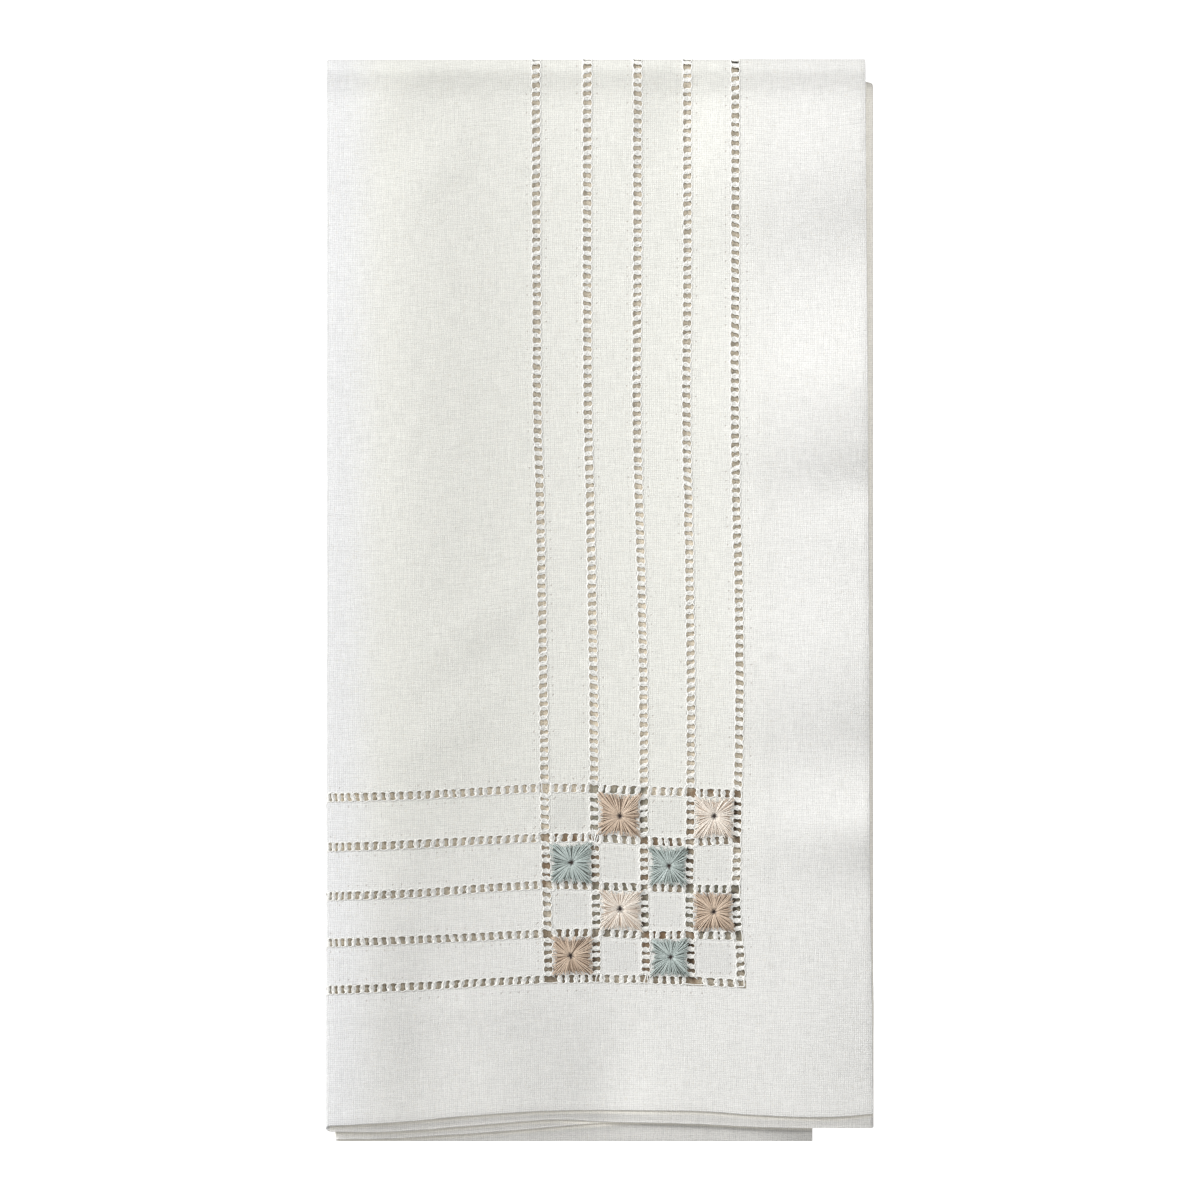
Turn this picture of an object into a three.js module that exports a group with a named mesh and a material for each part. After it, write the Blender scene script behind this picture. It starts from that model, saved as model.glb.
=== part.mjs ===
// A square linen napkin with a drawn-thread border, folded into a flat packet.
// The cloth is folded back and forth into four panels, then in half over its top edge.
// Millimetres: X across the packet, Y along it, Z up. The packet lies on Z = 0.
import * as THREE from 'three';

// The cloth and its stack of eight layers
const CLOTH_LENGTH = 523;
const SHEET = 1;
const LAYER_GAP = 0.4;
const LAYERS = 8;
const PITCH = SHEET + LAYER_GAP;
const STACK = LAYERS * SHEET + (LAYERS - 1) * LAYER_GAP;
const MIDDLE = STACK / 2;
const OUTER_REACH = MIDDLE - SHEET / 2;

// The packet's edges seen from above
const LEFT_FOLD = -68.2;
const RIGHT_FOLD = 68.2;
const INNER_LEFT_FOLD = -65.9;
const INNER_HEM = 53.2;
const TOP_EDGE = 135.1;
const INNER_TOP = 129.6;
const BEND_AXIS = INNER_TOP - (MIDDLE - PITCH);
const OUTER_SLACK = TOP_EDGE - BEND_AXIS - MIDDLE;
const TUCK = 0.8;

// The drawn-thread ladders: five parallel to the side hem, five parallel to the bottom hem
const HEM_WIDTH = 32.9;
const LADDER_SPACING = 11.9;
const LADDER_COUNT = 5;
const LADDER_HALF = 1.5;
const GROOVE_HALF = 1.05;
const GROOVE_DEPTH = 0.35;
const STAR_RAISE = 0.35;

// Mesh steps
const TURN_STEPS = 6;
const BEND_STEPS = 8;
const RISE_STEPS = 10;
const BACK_STEPS = 4;
const INNER_PANEL_STEPS = 4;
const HEM_STEPS = 4;
const PLAIN_STEPS = 6;
const HEM_ROWS = [0, 0.5];

// Where the side hem and the five upright ladders of the front panel run, at heights up the packet
const LADDER_LINES = [
  { y: -130.0, hem: 68.0, v1: 34.7, v2: 22.8, v3: 11.0, v4: -1.2, v5: -13.1 },
  { y: -93.7, hem: 67.3, v1: 34.7, v2: 22.8, v3: 11.0, v4: -1.2, v5: -13.1 },
  { y: -37.5, hem: 67.1, v1: 34.9, v2: 22.8, v3: 11.0, v4: -1.4, v5: -13.9 },
  { y: 2.5, hem: 66.9, v1: 34.8, v2: 22.5, v3: 10.2, v4: -2.1, v5: -14.7 },
  { y: 50.0, hem: 66.7, v1: 34.0, v2: 21.9, v3: 9.4, v4: -3.1, v5: -15.8 },
  { y: 135.0, hem: 66.6, v1: 33.9, v2: 21.8, v3: 9.5, v4: -3.1, v5: -16.0 },
];

// The bottom hem of each panel, from the front panel inwards
const BOTTOM_HEMS = [
  [
    { x: -67.0, y: -131.2 }, { x: -49.0, y: -130.2 }, { x: -35.0, y: -128.9 }, { x: -13.1, y: -127.6 },
    { x: 11.0, y: -127.5 }, { x: 25.5, y: -127.7 }, { x: 40.0, y: -128.8 }, { x: 62.0, y: -129.0 },
    { x: 68.0, y: -128.3 },
  ],
  [
    { x: -67.0, y: -132.6 }, { x: -54.0, y: -132.6 }, { x: -44.0, y: -132.1 }, { x: -24.7, y: -130.4 },
    { x: 0.0, y: -129.1 }, { x: 17.8, y: -129.6 }, { x: 40.0, y: -131.3 }, { x: 67.0, y: -131.7 },
  ],
  [
    { x: -64.7, y: -134.8 }, { x: -51.0, y: -134.5 }, { x: -31.0, y: -132.6 }, { x: -7.0, y: -131.1 },
    { x: 17.8, y: -130.2 }, { x: 40.0, y: -131.2 }, { x: 67.0, y: -131.6 },
  ],
  [
    { x: -64.7, y: -135.1 }, { x: INNER_HEM, y: -135.1 },
  ],
];

// Soft swells of the upper layers: fullness all over, a puffed roll by each side edge, shallow ripples
const SWELLS = [
  { x: 0.0, y: 0.0, across: 900.0, along: 900.0, turn: 0.0, rise: 0.15 },
  { x: -56.0, y: 0.0, across: 17.0, along: 900.0, turn: 0.0, rise: 1.1 },
  { x: 66.0, y: 0.0, across: 34.0, along: 900.0, turn: 0.0, rise: 0.9 },
  { x: 58.0, y: 112.0, across: 24.0, along: 15.0, turn: 0.0, rise: 0.4 },
  { x: 60.0, y: 42.0, across: 24.0, along: 14.0, turn: 0.0, rise: 0.5 },
  { x: 60.0, y: -15.0, across: 22.0, along: 13.0, turn: 0.0, rise: 0.35 },
  { x: 60.0, y: -66.0, across: 24.0, along: 14.0, turn: 0.0, rise: 0.4 },
  { x: -40.0, y: 115.0, across: 6.0, along: 20.0, turn: -55.0, rise: 0.3 },
  { x: -26.0, y: 4.0, across: 9.0, along: 24.0, turn: -50.0, rise: 0.3 },
];

const smooth = (share) => share * share * (3 - 2 * share);
const mix = (from, to, share) => from + (to - from) * share;

// The value of one named column at a height or place, between the rows of a table
function readTable(table, key, at, column) {
  if (at <= table[0][key]) return table[0][column];
  for (let row = 1; row < table.length; row += 1) {
    const low = table[row - 1];
    const high = table[row];
    if (at <= high[key]) return mix(low[column], high[column], (at - low[key]) / (high[key] - low[key]));
  }
  return table[table.length - 1][column];
}

function swellAt(x, y) {
  let total = 0;
  for (const swell of SWELLS) {
    const turn = THREE.MathUtils.degToRad(swell.turn);
    const across = (x - swell.x) * Math.cos(turn) + (y - swell.y) * Math.sin(turn);
    const along = (y - swell.y) * Math.cos(turn) - (x - swell.x) * Math.sin(turn);
    total += swell.rise * Math.exp(-((across / swell.across) ** 2) - (along / swell.along) ** 2);
  }
  return total;
}

// Half the way round an ellipse
function halfEllipse(a, b) {
  const h = ((a - b) / (a + b)) ** 2;
  return (Math.PI / 2) * (a + b) * (1 + (3 * h) / (10 + Math.sqrt(4 - 3 * h)));
}

// Stations: the lines that run along the cloth, from the side hem to the inner hem.
// Each knows its place across, its depth under the outer panel and its normal to the right side.
const stations = [];

function addStation(settings) {
  stations.push({ ladder: false, pastHem: true, column: 0, slack: 0, normalX: 0, ...settings });
}

function addFrontStation(xAt, extra = {}) {
  const bottom = readTable(BOTTOM_HEMS[0], 'x', xAt(BOTTOM_HEMS[0][0].y), 'y');
  addStation({ xAt, depth: 0, normalDepth: -1, slack: OUTER_SLACK, bottom, ...extra });
}

function addFrontPanel() {
  const line = (name) => (y) => readTable(LADDER_LINES, 'y', y, name);
  const between = (from, to, share) => (y) => mix(from(y), to(y), share);
  const beside = (name, shift) => (y) => line(name)(y) + shift;
  for (let step = 0; step < HEM_STEPS; step += 1) {
    const share = step / HEM_STEPS;
    addFrontStation(between(line('hem'), beside('v1', LADDER_HALF), share), { pastHem: false });
  }
  for (let ladder = 1; ladder <= LADDER_COUNT; ladder += 1) {
    const name = `v${ladder}`;
    const rightColumn = ladder > 1 ? LADDER_COUNT + 1 - ladder : 0;
    const leftColumn = ladder < LADDER_COUNT ? LADDER_COUNT - ladder : 0;
    addFrontStation(beside(name, LADDER_HALF), { column: rightColumn, pastHem: ladder > 1 });
    addFrontStation(beside(name, GROOVE_HALF), { ladder: true });
    addFrontStation(beside(name, -GROOVE_HALF), { ladder: true });
    addFrontStation(beside(name, -LADDER_HALF), { column: leftColumn });
  }
  const fold = () => LEFT_FOLD + (PITCH + SHEET) / 2;
  for (let step = 1; step <= PLAIN_STEPS; step += 1) {
    addFrontStation(between(beside('v5', -LADDER_HALF), fold, step / PLAIN_STEPS));
  }
}

// A round turn from one panel down to the next; side is -1 at a left fold and 1 at a right fold
function addTurn(panel, centre, side, slackBefore) {
  const before = readTable(BOTTOM_HEMS[panel], 'x', centre, 'y');
  const after = readTable(BOTTOM_HEMS[panel + 1], 'x', centre, 'y');
  for (let step = 1; step < TURN_STEPS; step += 1) {
    const share = step / TURN_STEPS;
    const angle = Math.PI * share;
    const x = centre + side * (PITCH / 2) * Math.sin(angle);
    addStation({
      xAt: () => x,
      depth: (panel + 0.5 - 0.5 * Math.cos(angle)) * PITCH,
      normalX: -Math.sin(angle),
      normalDepth: side * Math.cos(angle),
      slack: slackBefore * (1 - smooth(share)),
      bottom: mix(before, after, smooth(share)),
    });
  }
}

function addInnerPanel(panel, from, to) {
  for (let step = 0; step <= INNER_PANEL_STEPS; step += 1) {
    const x = mix(from, to, step / INNER_PANEL_STEPS);
    addStation({
      xAt: () => x,
      depth: panel * PITCH,
      normalDepth: panel % 2 === 0 ? -1 : 1,
      bottom: readTable(BOTTOM_HEMS[panel], 'x', x, 'y'),
    });
  }
}

const TURN_REACH = (PITCH + SHEET) / 2;
addFrontPanel();
addTurn(0, LEFT_FOLD + TURN_REACH, -1, OUTER_SLACK);
addInnerPanel(1, LEFT_FOLD + TURN_REACH, RIGHT_FOLD - TURN_REACH);
addTurn(1, RIGHT_FOLD - TURN_REACH, 1, 0);
addInnerPanel(2, RIGHT_FOLD - TURN_REACH, INNER_LEFT_FOLD + TURN_REACH);
addTurn(2, INNER_LEFT_FOLD + TURN_REACH, -1, 0);
addInnerPanel(3, INNER_LEFT_FOLD + TURN_REACH, INNER_HEM);

// Rows: the lines that run across the cloth, from the near hem over the top to the far hem
const rows = [];
const LAST_LADDER = HEM_WIDTH + (LADDER_COUNT - 1) * LADDER_SPACING;
const GRID_TOP = LAST_LADDER + LADDER_HALF;

function addRow(settings) {
  rows.push({ ladder: false, pastHem: true, line: 0, ...settings });
}

for (const share of HEM_ROWS) {
  addRow({ zone: 'grid', up: share * HEM_WIDTH, pastHem: false });
}
for (let ladder = 0; ladder < LADDER_COUNT; ladder += 1) {
  const centre = HEM_WIDTH + ladder * LADDER_SPACING;
  const lineBelow = ladder > 0 ? LADDER_COUNT - ladder : 0;
  const lineAbove = ladder < LADDER_COUNT - 1 ? LADDER_COUNT - 1 - ladder : 0;
  addRow({ zone: 'grid', up: centre - LADDER_HALF, line: lineBelow, pastHem: ladder > 0 });
  addRow({ zone: 'grid', up: centre - GROOVE_HALF, ladder: true });
  addRow({ zone: 'grid', up: centre + GROOVE_HALF, ladder: true });
  addRow({ zone: 'grid', up: centre + LADDER_HALF, line: lineAbove });
}
for (let step = 1; step <= RISE_STEPS; step += 1) {
  addRow({ zone: 'rise', share: step / RISE_STEPS });
}
for (let step = 1; step <= BEND_STEPS; step += 1) {
  addRow({ zone: 'bend', angle: Math.PI * (0.5 - step / BEND_STEPS) });
}
for (let step = 1; step <= BACK_STEPS; step += 1) {
  addRow({ zone: 'back', share: step / BACK_STEPS, fromHem: HEM_WIDTH });
}
addRow({ zone: 'back', share: 1, fromHem: HEM_WIDTH - LADDER_HALF, pastHem: false });
addRow({ zone: 'back', share: 1, fromHem: 0, pastHem: false });

// How far the right side stands above the plain cloth: sunk in a ladder, raised on a star square
function reliefAt(station, row) {
  const inUpright = station.ladder && row.pastHem;
  const inLevel = row.ladder && station.pastHem;
  if (inUpright || inLevel) return -GROOVE_DEPTH;
  const inGrid = station.column > 0 && row.line > 0;
  return inGrid && (station.column + row.line) % 2 === 1 ? STAR_RAISE : 0;
}

// The place of one cloth point: side is 1 on the right side and -1 on the wrong side
function clothPoint(station, row, side) {
  const relief = side > 0 ? reliefAt(station, row) : 0;
  const offset = (side * SHEET) / 2 + relief;
  const depth = station.depth + station.normalDepth * offset;
  const reach = OUTER_REACH - depth;
  const shift = station.normalX * offset;

  if (row.zone === 'grid' || row.zone === 'rise') {
    const gridTop = station.bottom + GRID_TOP;
    const y = row.zone === 'grid' ? station.bottom + row.up : mix(gridTop, BEND_AXIS, row.share);
    const x = station.xAt(y) + shift;
    return [x, y, MIDDLE + reach + (swellAt(x, y) * reach) / OUTER_REACH];
  }

  const x = station.xAt(TOP_EDGE) + shift;
  if (row.zone === 'bend') {
    const y = BEND_AXIS + (reach + station.slack) * Math.cos(row.angle);
    const lift = row.angle > 0 ? (swellAt(x, BEND_AXIS) * reach) / OUTER_REACH : 0;
    return [x, y, MIDDLE + (reach + lift) * Math.sin(row.angle)];
  }

  const reachAtCentre = OUTER_REACH - station.depth;
  const used = BEND_AXIS - station.bottom + halfEllipse(reachAtCentre, reachAtCentre + station.slack);
  const farEdge = Math.max(BEND_AXIS - (CLOTH_LENGTH - used), station.bottom + TUCK);
  return [x, mix(BEND_AXIS, farEdge + row.fromHem, row.share), MIDDLE - reach];
}

// One closed sheet: its right side, its wrong side and the rim between them
function clothGeometry() {
  const across = stations.length;
  const along = rows.length;
  const positions = [];
  const faces = [];
  for (const side of [1, -1]) {
    for (const row of rows) {
      for (const station of stations) positions.push(...clothPoint(station, row, side));
    }
  }
  const corner = (side, row, station) => (side > 0 ? 0 : across * along) + row * across + station;
  const quad = (a, b, c, d) => faces.push(a, b, c, a, c, d);
  for (let row = 0; row < along - 1; row += 1) {
    for (let station = 0; station < across - 1; station += 1) {
      quad(corner(1, row, station), corner(1, row + 1, station),
        corner(1, row + 1, station + 1), corner(1, row, station + 1));
      quad(corner(-1, row, station), corner(-1, row, station + 1),
        corner(-1, row + 1, station + 1), corner(-1, row + 1, station));
    }
  }
  for (let station = 0; station < across - 1; station += 1) {
    quad(corner(1, 0, station), corner(1, 0, station + 1),
      corner(-1, 0, station + 1), corner(-1, 0, station));
    quad(corner(1, along - 1, station + 1), corner(1, along - 1, station),
      corner(-1, along - 1, station), corner(-1, along - 1, station + 1));
  }
  for (let row = 0; row < along - 1; row += 1) {
    quad(corner(1, row + 1, 0), corner(1, row, 0), corner(-1, row, 0), corner(-1, row + 1, 0));
    quad(corner(1, row, across - 1), corner(1, row + 1, across - 1),
      corner(-1, row + 1, across - 1), corner(-1, row, across - 1));
  }
  const geometry = new THREE.BufferGeometry();
  geometry.setAttribute('position', new THREE.Float32BufferAttribute(positions, 3));
  geometry.setIndex(faces);
  geometry.computeVertexNormals();
  return geometry;
}

const linen = new THREE.MeshStandardMaterial({ color: 0xefeee6, roughness: 0.85, metalness: 0 });
const cloth = new THREE.Mesh(clothGeometry(), linen);
cloth.name = 'napkin_cloth';

const napkin = new THREE.Group();
napkin.add(cloth);

export default napkin;
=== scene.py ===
import math

import bpy
import numpy as np
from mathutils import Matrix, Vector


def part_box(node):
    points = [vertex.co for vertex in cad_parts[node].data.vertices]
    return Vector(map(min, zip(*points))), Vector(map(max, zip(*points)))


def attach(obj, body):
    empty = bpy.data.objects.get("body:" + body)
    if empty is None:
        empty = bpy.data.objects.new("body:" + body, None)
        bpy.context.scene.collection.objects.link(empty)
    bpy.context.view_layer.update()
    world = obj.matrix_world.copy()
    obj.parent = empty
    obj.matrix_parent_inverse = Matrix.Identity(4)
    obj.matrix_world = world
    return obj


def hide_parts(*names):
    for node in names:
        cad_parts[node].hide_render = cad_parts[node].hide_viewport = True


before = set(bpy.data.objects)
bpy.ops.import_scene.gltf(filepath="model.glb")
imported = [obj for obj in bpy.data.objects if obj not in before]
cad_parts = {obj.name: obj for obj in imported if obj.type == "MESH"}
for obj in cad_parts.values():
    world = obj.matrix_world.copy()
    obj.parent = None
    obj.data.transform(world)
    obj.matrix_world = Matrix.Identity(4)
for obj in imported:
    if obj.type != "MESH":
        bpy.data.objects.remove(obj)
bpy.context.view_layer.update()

MM = 0.001
BOX_LOW, BOX_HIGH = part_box("napkin_cloth")

# The cloth as it was cut and sewn
FLAT_WIDTH = 524.5 * MM
FLAT_LENGTH = 523.0 * MM
HALF_LENGTH = FLAT_LENGTH / 2
THICKNESS = 0.38 * MM
HEM_RISE = 0.1 * MM
TURN_UNDER_RISE = 0.04 * MM
TURN_UNDER = 24.6 * MM
EDGE_ROUND = 0.12 * MM
HEM_STEP = 0.9 * MM

# The drawn-thread ladders, measured from the hems' outer edges
LADDER_FIRST = 32.9 * MM
LADDER_SPACING = 11.9 * MM
LADDER_COUNT = 5
SLOT_HALF = 1.18 * MM
LADDERS = [LADDER_FIRST + LADDER_SPACING * k for k in range(LADDER_COUNT)]
BORDER_START = LADDER_FIRST - SLOT_HALF
LATTICE_END = LADDERS[-1] + SLOT_HALF
LEVEL_END = 138.0 * MM

# The bars of a ladder: along one side of a lattice square, and how far apart they stand beyond the lattice
CELL_BARS = [1.6 * MM, 3.78 * MM, 5.95 * MM, 8.12 * MM, 10.3 * MM]
UPRIGHT_PITCH = 2.28 * MM
LEVEL_PITCH = 2.18 * MM
FOLD_PITCH = 1.45 * MM
FOLD_BARS = 124.5 * MM
TIE_REACH = 0.76 * MM

# The packet: eight layers, folded back and forth and then in half over the top edge
LAYERS = 8
STACK = 10.8 * MM
PITCH = (STACK - THICKNESS) / (LAYERS - 1)
MIDDLE = STACK / 2
REACH = MIDDLE - THICKNESS / 2
TURN_LENGTH = math.pi * PITCH / 2
TURN_REACH = (PITCH + THICKNESS) / 2
PROUD = 0.18 * MM
LEFT_FOLD = BOX_LOW.x - PROUD
RIGHT_FOLD = BOX_HIGH.x + PROUD
INNER_LEFT_FOLD = LEFT_FOLD + 2.3 * MM
INNER_HEM = 53.2 * MM
TOP_EDGE = BOX_HIGH.y + PROUD
BEND_AXIS = 125.6 * MM
OUTER_SLACK = TOP_EDGE - BEND_AXIS - MIDDLE
FRONT_WIDTH = 133.6 * MM
TUCK = 0.8 * MM
BACK_DRAW = 0.08
CORNER_SHARE = 0.6
NEAR_PITCH = THICKNESS + 0.12 * MM
NEAR_SLACK = 0.93 * OUTER_SLACK
HEM_PITCH = 0.68 * MM

# The lengths over which the layers' spacing changes: above the bottom hems, before half the length and
# before the back hem
HEM_SETTLE = 12 * MM
HALF_SETTLE = 20 * MM
BACK_HEM = 36 * MM
BACK_SETTLE = 10 * MM

# Where the second layer comes loose from the first, from the thick side hem to the right fold
HEM_LOOSENESS = 0.28
UNDER_HEM = (31 * MM, 37 * MM)
TO_RIGHT_FOLD = (55 * MM, 66 * MM)

# Where the side hem and the five upright ladders of the front panel run, in millimetres:
# y, then x of the hem and of each ladder from the hem inwards
LADDER_LINES = np.array([
    (-130.0, 68.4, 35.2, 22.8, 11.6, -0.9, -12.9),
    (-89.0, 67.9, 35.1, 22.7, 11.6, -0.9, -12.9),
    (-78.0, 67.7, 34.2, 22.4, 11.3, -0.9, -13.1),
    (-60.0, 67.55, 34.3, 22.6, 11.1, -1.3, -13.6),
    (-24.0, 67.45, 35.0, 22.8, 11.0, -1.5, -14.1),
    (1.3, 67.3, 34.8, 22.5, 10.5, -1.9, -14.5),
    (26.0, 67.2, 34.1, 22.1, 9.8, -2.4, -15.0),
    (45.0, 67.1, 33.8, 21.7, 9.3, -2.9, -15.6),
    (75.0, 66.9, 33.9, 21.9, 9.4, -3.1, -15.8),
    (135.0, 66.4, 33.9, 21.9, 9.5, -3.1, -16.0),
]) * MM

# Where the five level ladders run, in millimetres: x, then y of each ladder from the bottom hem upwards
LEVEL_LINES = np.array([
    (-66.0, -97.4, -85.6, -74.0, -61.7, -49.3),
    (-46.0, -96.5, -84.9, -73.3, -61.0, -48.7),
    (-30.0, -95.6, -84.2, -72.1, -60.1, -47.9),
    (-14.0, -94.8, -83.4, -71.2, -59.5, -46.9),
    (-1.0, -94.6, -83.2, -71.5, -59.4, -47.1),
    (11.0, -94.8, -83.7, -71.8, -60.3, -47.6),
    (22.7, -95.2, -83.7, -72.1, -60.5, -48.0),
    (34.5, -95.8, -84.0, -72.3, -59.9, -48.5),
    (66.0, -96.0, -84.2, -72.4, -60.0, -48.5),
]) * MM

# The bottom hem of each panel, from the front panel inwards: (x, y) in millimetres
BOTTOM_HEMS = [
    [(-67, -131.4), (-55, -130.8), (-49, -130.4), (-35, -129.1), (-13.1, -127.7), (11, -127.6),
     (25.5, -127.8), (40, -128.8), (62, -129.0), (68, -128.4)],
    [(-67, -132.9), (-54, -133.0), (-44, -132.4), (-32, -131.4), (-24.7, -130.8), (-10, -129.9),
     (2, -130.5), (17.8, -130.8), (28.8, -131.2), (40, -131.8), (67, -132.0)],
    [(-64.7, -134.8), (-51, -134.6), (-44, -134.1), (-31, -133.3), (-10, -131.6), (2, -130.6),
     (17.8, -130.4), (40, -131.4), (67, -131.7)],
    [(-64.7, -135.25), (INNER_HEM / MM, -135.25)],
]

# Soft troughs and ridges of the upper layers, in millimetres and degrees:
# place, size across and along, the way it is turned, and its rise
SWELL_COLUMNS = ("x", "y", "across", "along", "turn", "rise")
SWELLS = [
    # the puffed left fold, the hollow beside it and the thick side hem
    (-50.0, 70.0, 21.0, 100.0, 0.0, 1.95),
    (-56.0, -95.0, 19.0, 70.0, 0.0, 1.74),
    (2.0, 0.0, 30.0, 180.0, 0.0, -1.20),
    (62.0, 10.0, 24.0, 200.0, 0.0, 0.81),
    # the side hem's edge, high and low in turn
    (76.0, 88.0, 31.0, 15.0, 0.0, -3.4),
    (74.0, 54.0, 27.0, 12.0, 0.0, 1.6),
    (76.0, 29.0, 26.0, 8.0, 0.0, -2.18),
    (74.0, -12.0, 30.0, 15.0, 0.0, 1.4),
    (80.0, -38.0, 34.0, 9.0, 0.0, -1.6),
    (74.0, -57.0, 26.0, 8.0, 0.0, 1.85),
    (80.0, -71.0, 32.0, 7.0, 0.0, -0.6),
    (74.0, -120.0, 14.0, 16.0, 0.0, -0.81),
    # ripples that run out of the left fold
    (-52.0, 126.0, 7.0, 14.0, -45.0, 0.40),
    (-42.0, 107.0, 6.0, 12.0, -45.0, 0.27),
    (-31.0, -6.0, 6.0, 16.0, -56.0, 0.34),
    (-37.0, -31.0, 6.0, 14.0, -56.0, 0.27),
    (-34.0, -103.0, 16.0, 6.0, 0.0, 0.40),
    (-45.0, -105.0, 9.0, 32.0, 0.0, -0.55),
    (-24.0, -116.0, 9.0, 20.0, 0.0, 0.38),
    (2.0, -122.0, 11.0, 18.0, 0.0, -1.08),
    (20.0, 120.0, 9.0, 14.0, 0.0, -0.95),
    # the lip along the top fold
    (0.0, 131.0, 900.0, 4.5, 0.0, 0.4),
]

# Star squares: floss, lattice column from the left and line from the top, how far the star and its eyelet
# sit to the right of the square's middle and above it, in millimetres, and how green the shade behind it is
STAR_COLUMNS = ("floss", "column", "line", "right", "above", "eyelet_right", "eyelet_above", "green")
STARS = [dict(zip(STAR_COLUMNS, row)) for row in (
    ("tan", 2, 1, 0.0, -0.1, 0.2, -0.35, 0.9),
    ("tan", 4, 3, 0.1, 0.1, 0.25, 0.1, 0.9),
    ("tan", 1, 4, 0.1, 0.0, -0.4, 0.1, 0.3),
    ("cream", 4, 1, 0.15, -0.2, 0.15, 0.3, 0.1),
    ("cream", 2, 3, 0.1, 0.0, -0.1, 0.35, 0.8),
    ("grey_blue", 1, 2, 0.1, -0.45, 0.25, -0.25, 0.0),
    ("grey_blue", 3, 2, 0.35, -0.35, 0.5, -0.2, 0.2),
    ("grey_blue", 3, 4, 0.4, 0.0, 0.65, 0.15, 0.0),
)]
STAR_HALF = 4.65 * MM


# Reading tables

def line_through(places, values, at):
    """A smooth line through the rows of a table, level beyond its ends."""
    places = np.asarray(places, float)
    values = np.asarray(values, float)
    slopes = np.gradient(values, places)
    at = np.clip(at, places[0], places[-1])
    row = np.clip(np.searchsorted(places, at) - 1, 0, len(places) - 2)
    gap = places[row + 1] - places[row]
    share = (at - places[row]) / gap
    rest = 1 - share
    start = values[row] * rest * rest * (1 + 2 * share) + gap * slopes[row] * share * rest * rest
    end = values[row + 1] * share * share * (3 - 2 * share) - gap * slopes[row + 1] * share * share * rest
    return start + end


def smooth(share):
    share = np.clip(share, 0, 1)
    return share * share * (3 - 2 * share)


def eased(value, start, end):
    """Goes smoothly from 0 to 1 as the value goes from start to end."""
    return smooth((value - start) / (end - start))


def mix(start, end, share):
    return start + (end - start) * share


def bottom_of(panel, x):
    table = np.array(BOTTOM_HEMS[panel]) * MM
    return line_through(table[:, 0], table[:, 1], x)


# The folds of the packet

LEFT_CENTRE = LEFT_FOLD + TURN_REACH
RIGHT_CENTRE = RIGHT_FOLD - TURN_REACH
INNER_LEFT_CENTRE = INNER_LEFT_FOLD + TURN_REACH
PANELS = [
    (0, FRONT_WIDTH, None, LEFT_CENTRE),
    (1, RIGHT_CENTRE - LEFT_CENTRE, LEFT_CENTRE, RIGHT_CENTRE),
    (2, RIGHT_CENTRE - INNER_LEFT_CENTRE, RIGHT_CENTRE, INNER_LEFT_CENTRE),
    (3, None, INNER_LEFT_CENTRE, INNER_HEM),
]


def front_x(across, y):
    """x of the front panel's cloth, between the side hem, the ladders and the left fold."""
    anchors = [0.0, *LADDERS, FRONT_WIDTH]
    heights = LADDER_LINES[:, 0]
    lines = [line_through(heights, LADDER_LINES[:, k], y) for k in range(1, LADDER_LINES.shape[1])]
    lines.append(np.full_like(y, LEFT_CENTRE))
    x = np.array(lines[0])
    for k in range(len(anchors) - 1):
        share = np.clip((across - anchors[k]) / (anchors[k + 1] - anchors[k]), 0, 1)
        x += (lines[k + 1] - lines[k]) * share
    return x


def closeness(x):
    """How closely the second layer follows the first: less under the side hem, and not at the right fold."""
    under_hem = 1 - HEM_LOOSENESS * eased(x, *UNDER_HEM)
    return under_hem * (1 - eased(x, *TO_RIGHT_FOLD))


def place_across(across):
    """For places across the cloth: x, depth under the outer layer, the right side's normal, the slack
    of the top bend, the y of the bottom hem, the front panel's share and the second layer's closeness."""
    place = {}
    for key in ("x", "depth", "normal_x", "normal_depth", "slack", "bottom", "front", "near"):
        place[key] = np.zeros_like(across)
    start = 0.0
    for panel, width, x_start, x_end in PANELS:
        end = start + width if width else FLAT_WIDTH
        here = (across >= start) & (across <= end)
        if panel == 0:
            here = across <= end
            x = front_x(across[here], np.full(here.sum(), LADDER_LINES[0, 0]))
            place["slack"][here] = OUTER_SLACK
            place["front"][here] = 1.0
        else:
            x = mix(x_start, x_end, (across[here] - start) / (end - start))
        if panel == 1:
            place["near"][here] = closeness(x)
            place["slack"][here] = NEAR_SLACK * closeness(x)
        place["x"][here] = x
        place["depth"][here] = panel * PITCH
        place["normal_depth"][here] = -1 if panel % 2 == 0 else 1
        place["bottom"][here] = bottom_of(panel, x)
        if width is None:
            break
        here = (across > end) & (across < end + TURN_LENGTH)
        share = (across[here] - end) / TURN_LENGTH
        angle = math.pi * share
        side = -1 if panel % 2 == 0 else 1
        place["x"][here] = x_end + side * (PITCH / 2) * np.sin(angle)
        place["depth"][here] = (panel + 0.5 - 0.5 * np.cos(angle)) * PITCH
        place["normal_x"][here] = -np.sin(angle)
        place["normal_depth"][here] = side * np.cos(angle)
        if panel == 0:
            place["slack"][here] = mix(OUTER_SLACK, NEAR_SLACK, smooth(share))
            place["front"][here] = 1 - smooth(share)
            place["near"][here] = 0.5 - 0.5 * np.cos(angle)
        place["bottom"][here] = mix(bottom_of(panel, x_end), bottom_of(panel + 1, x_end), smooth(share))
        start = end + TURN_LENGTH
    return place


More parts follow.
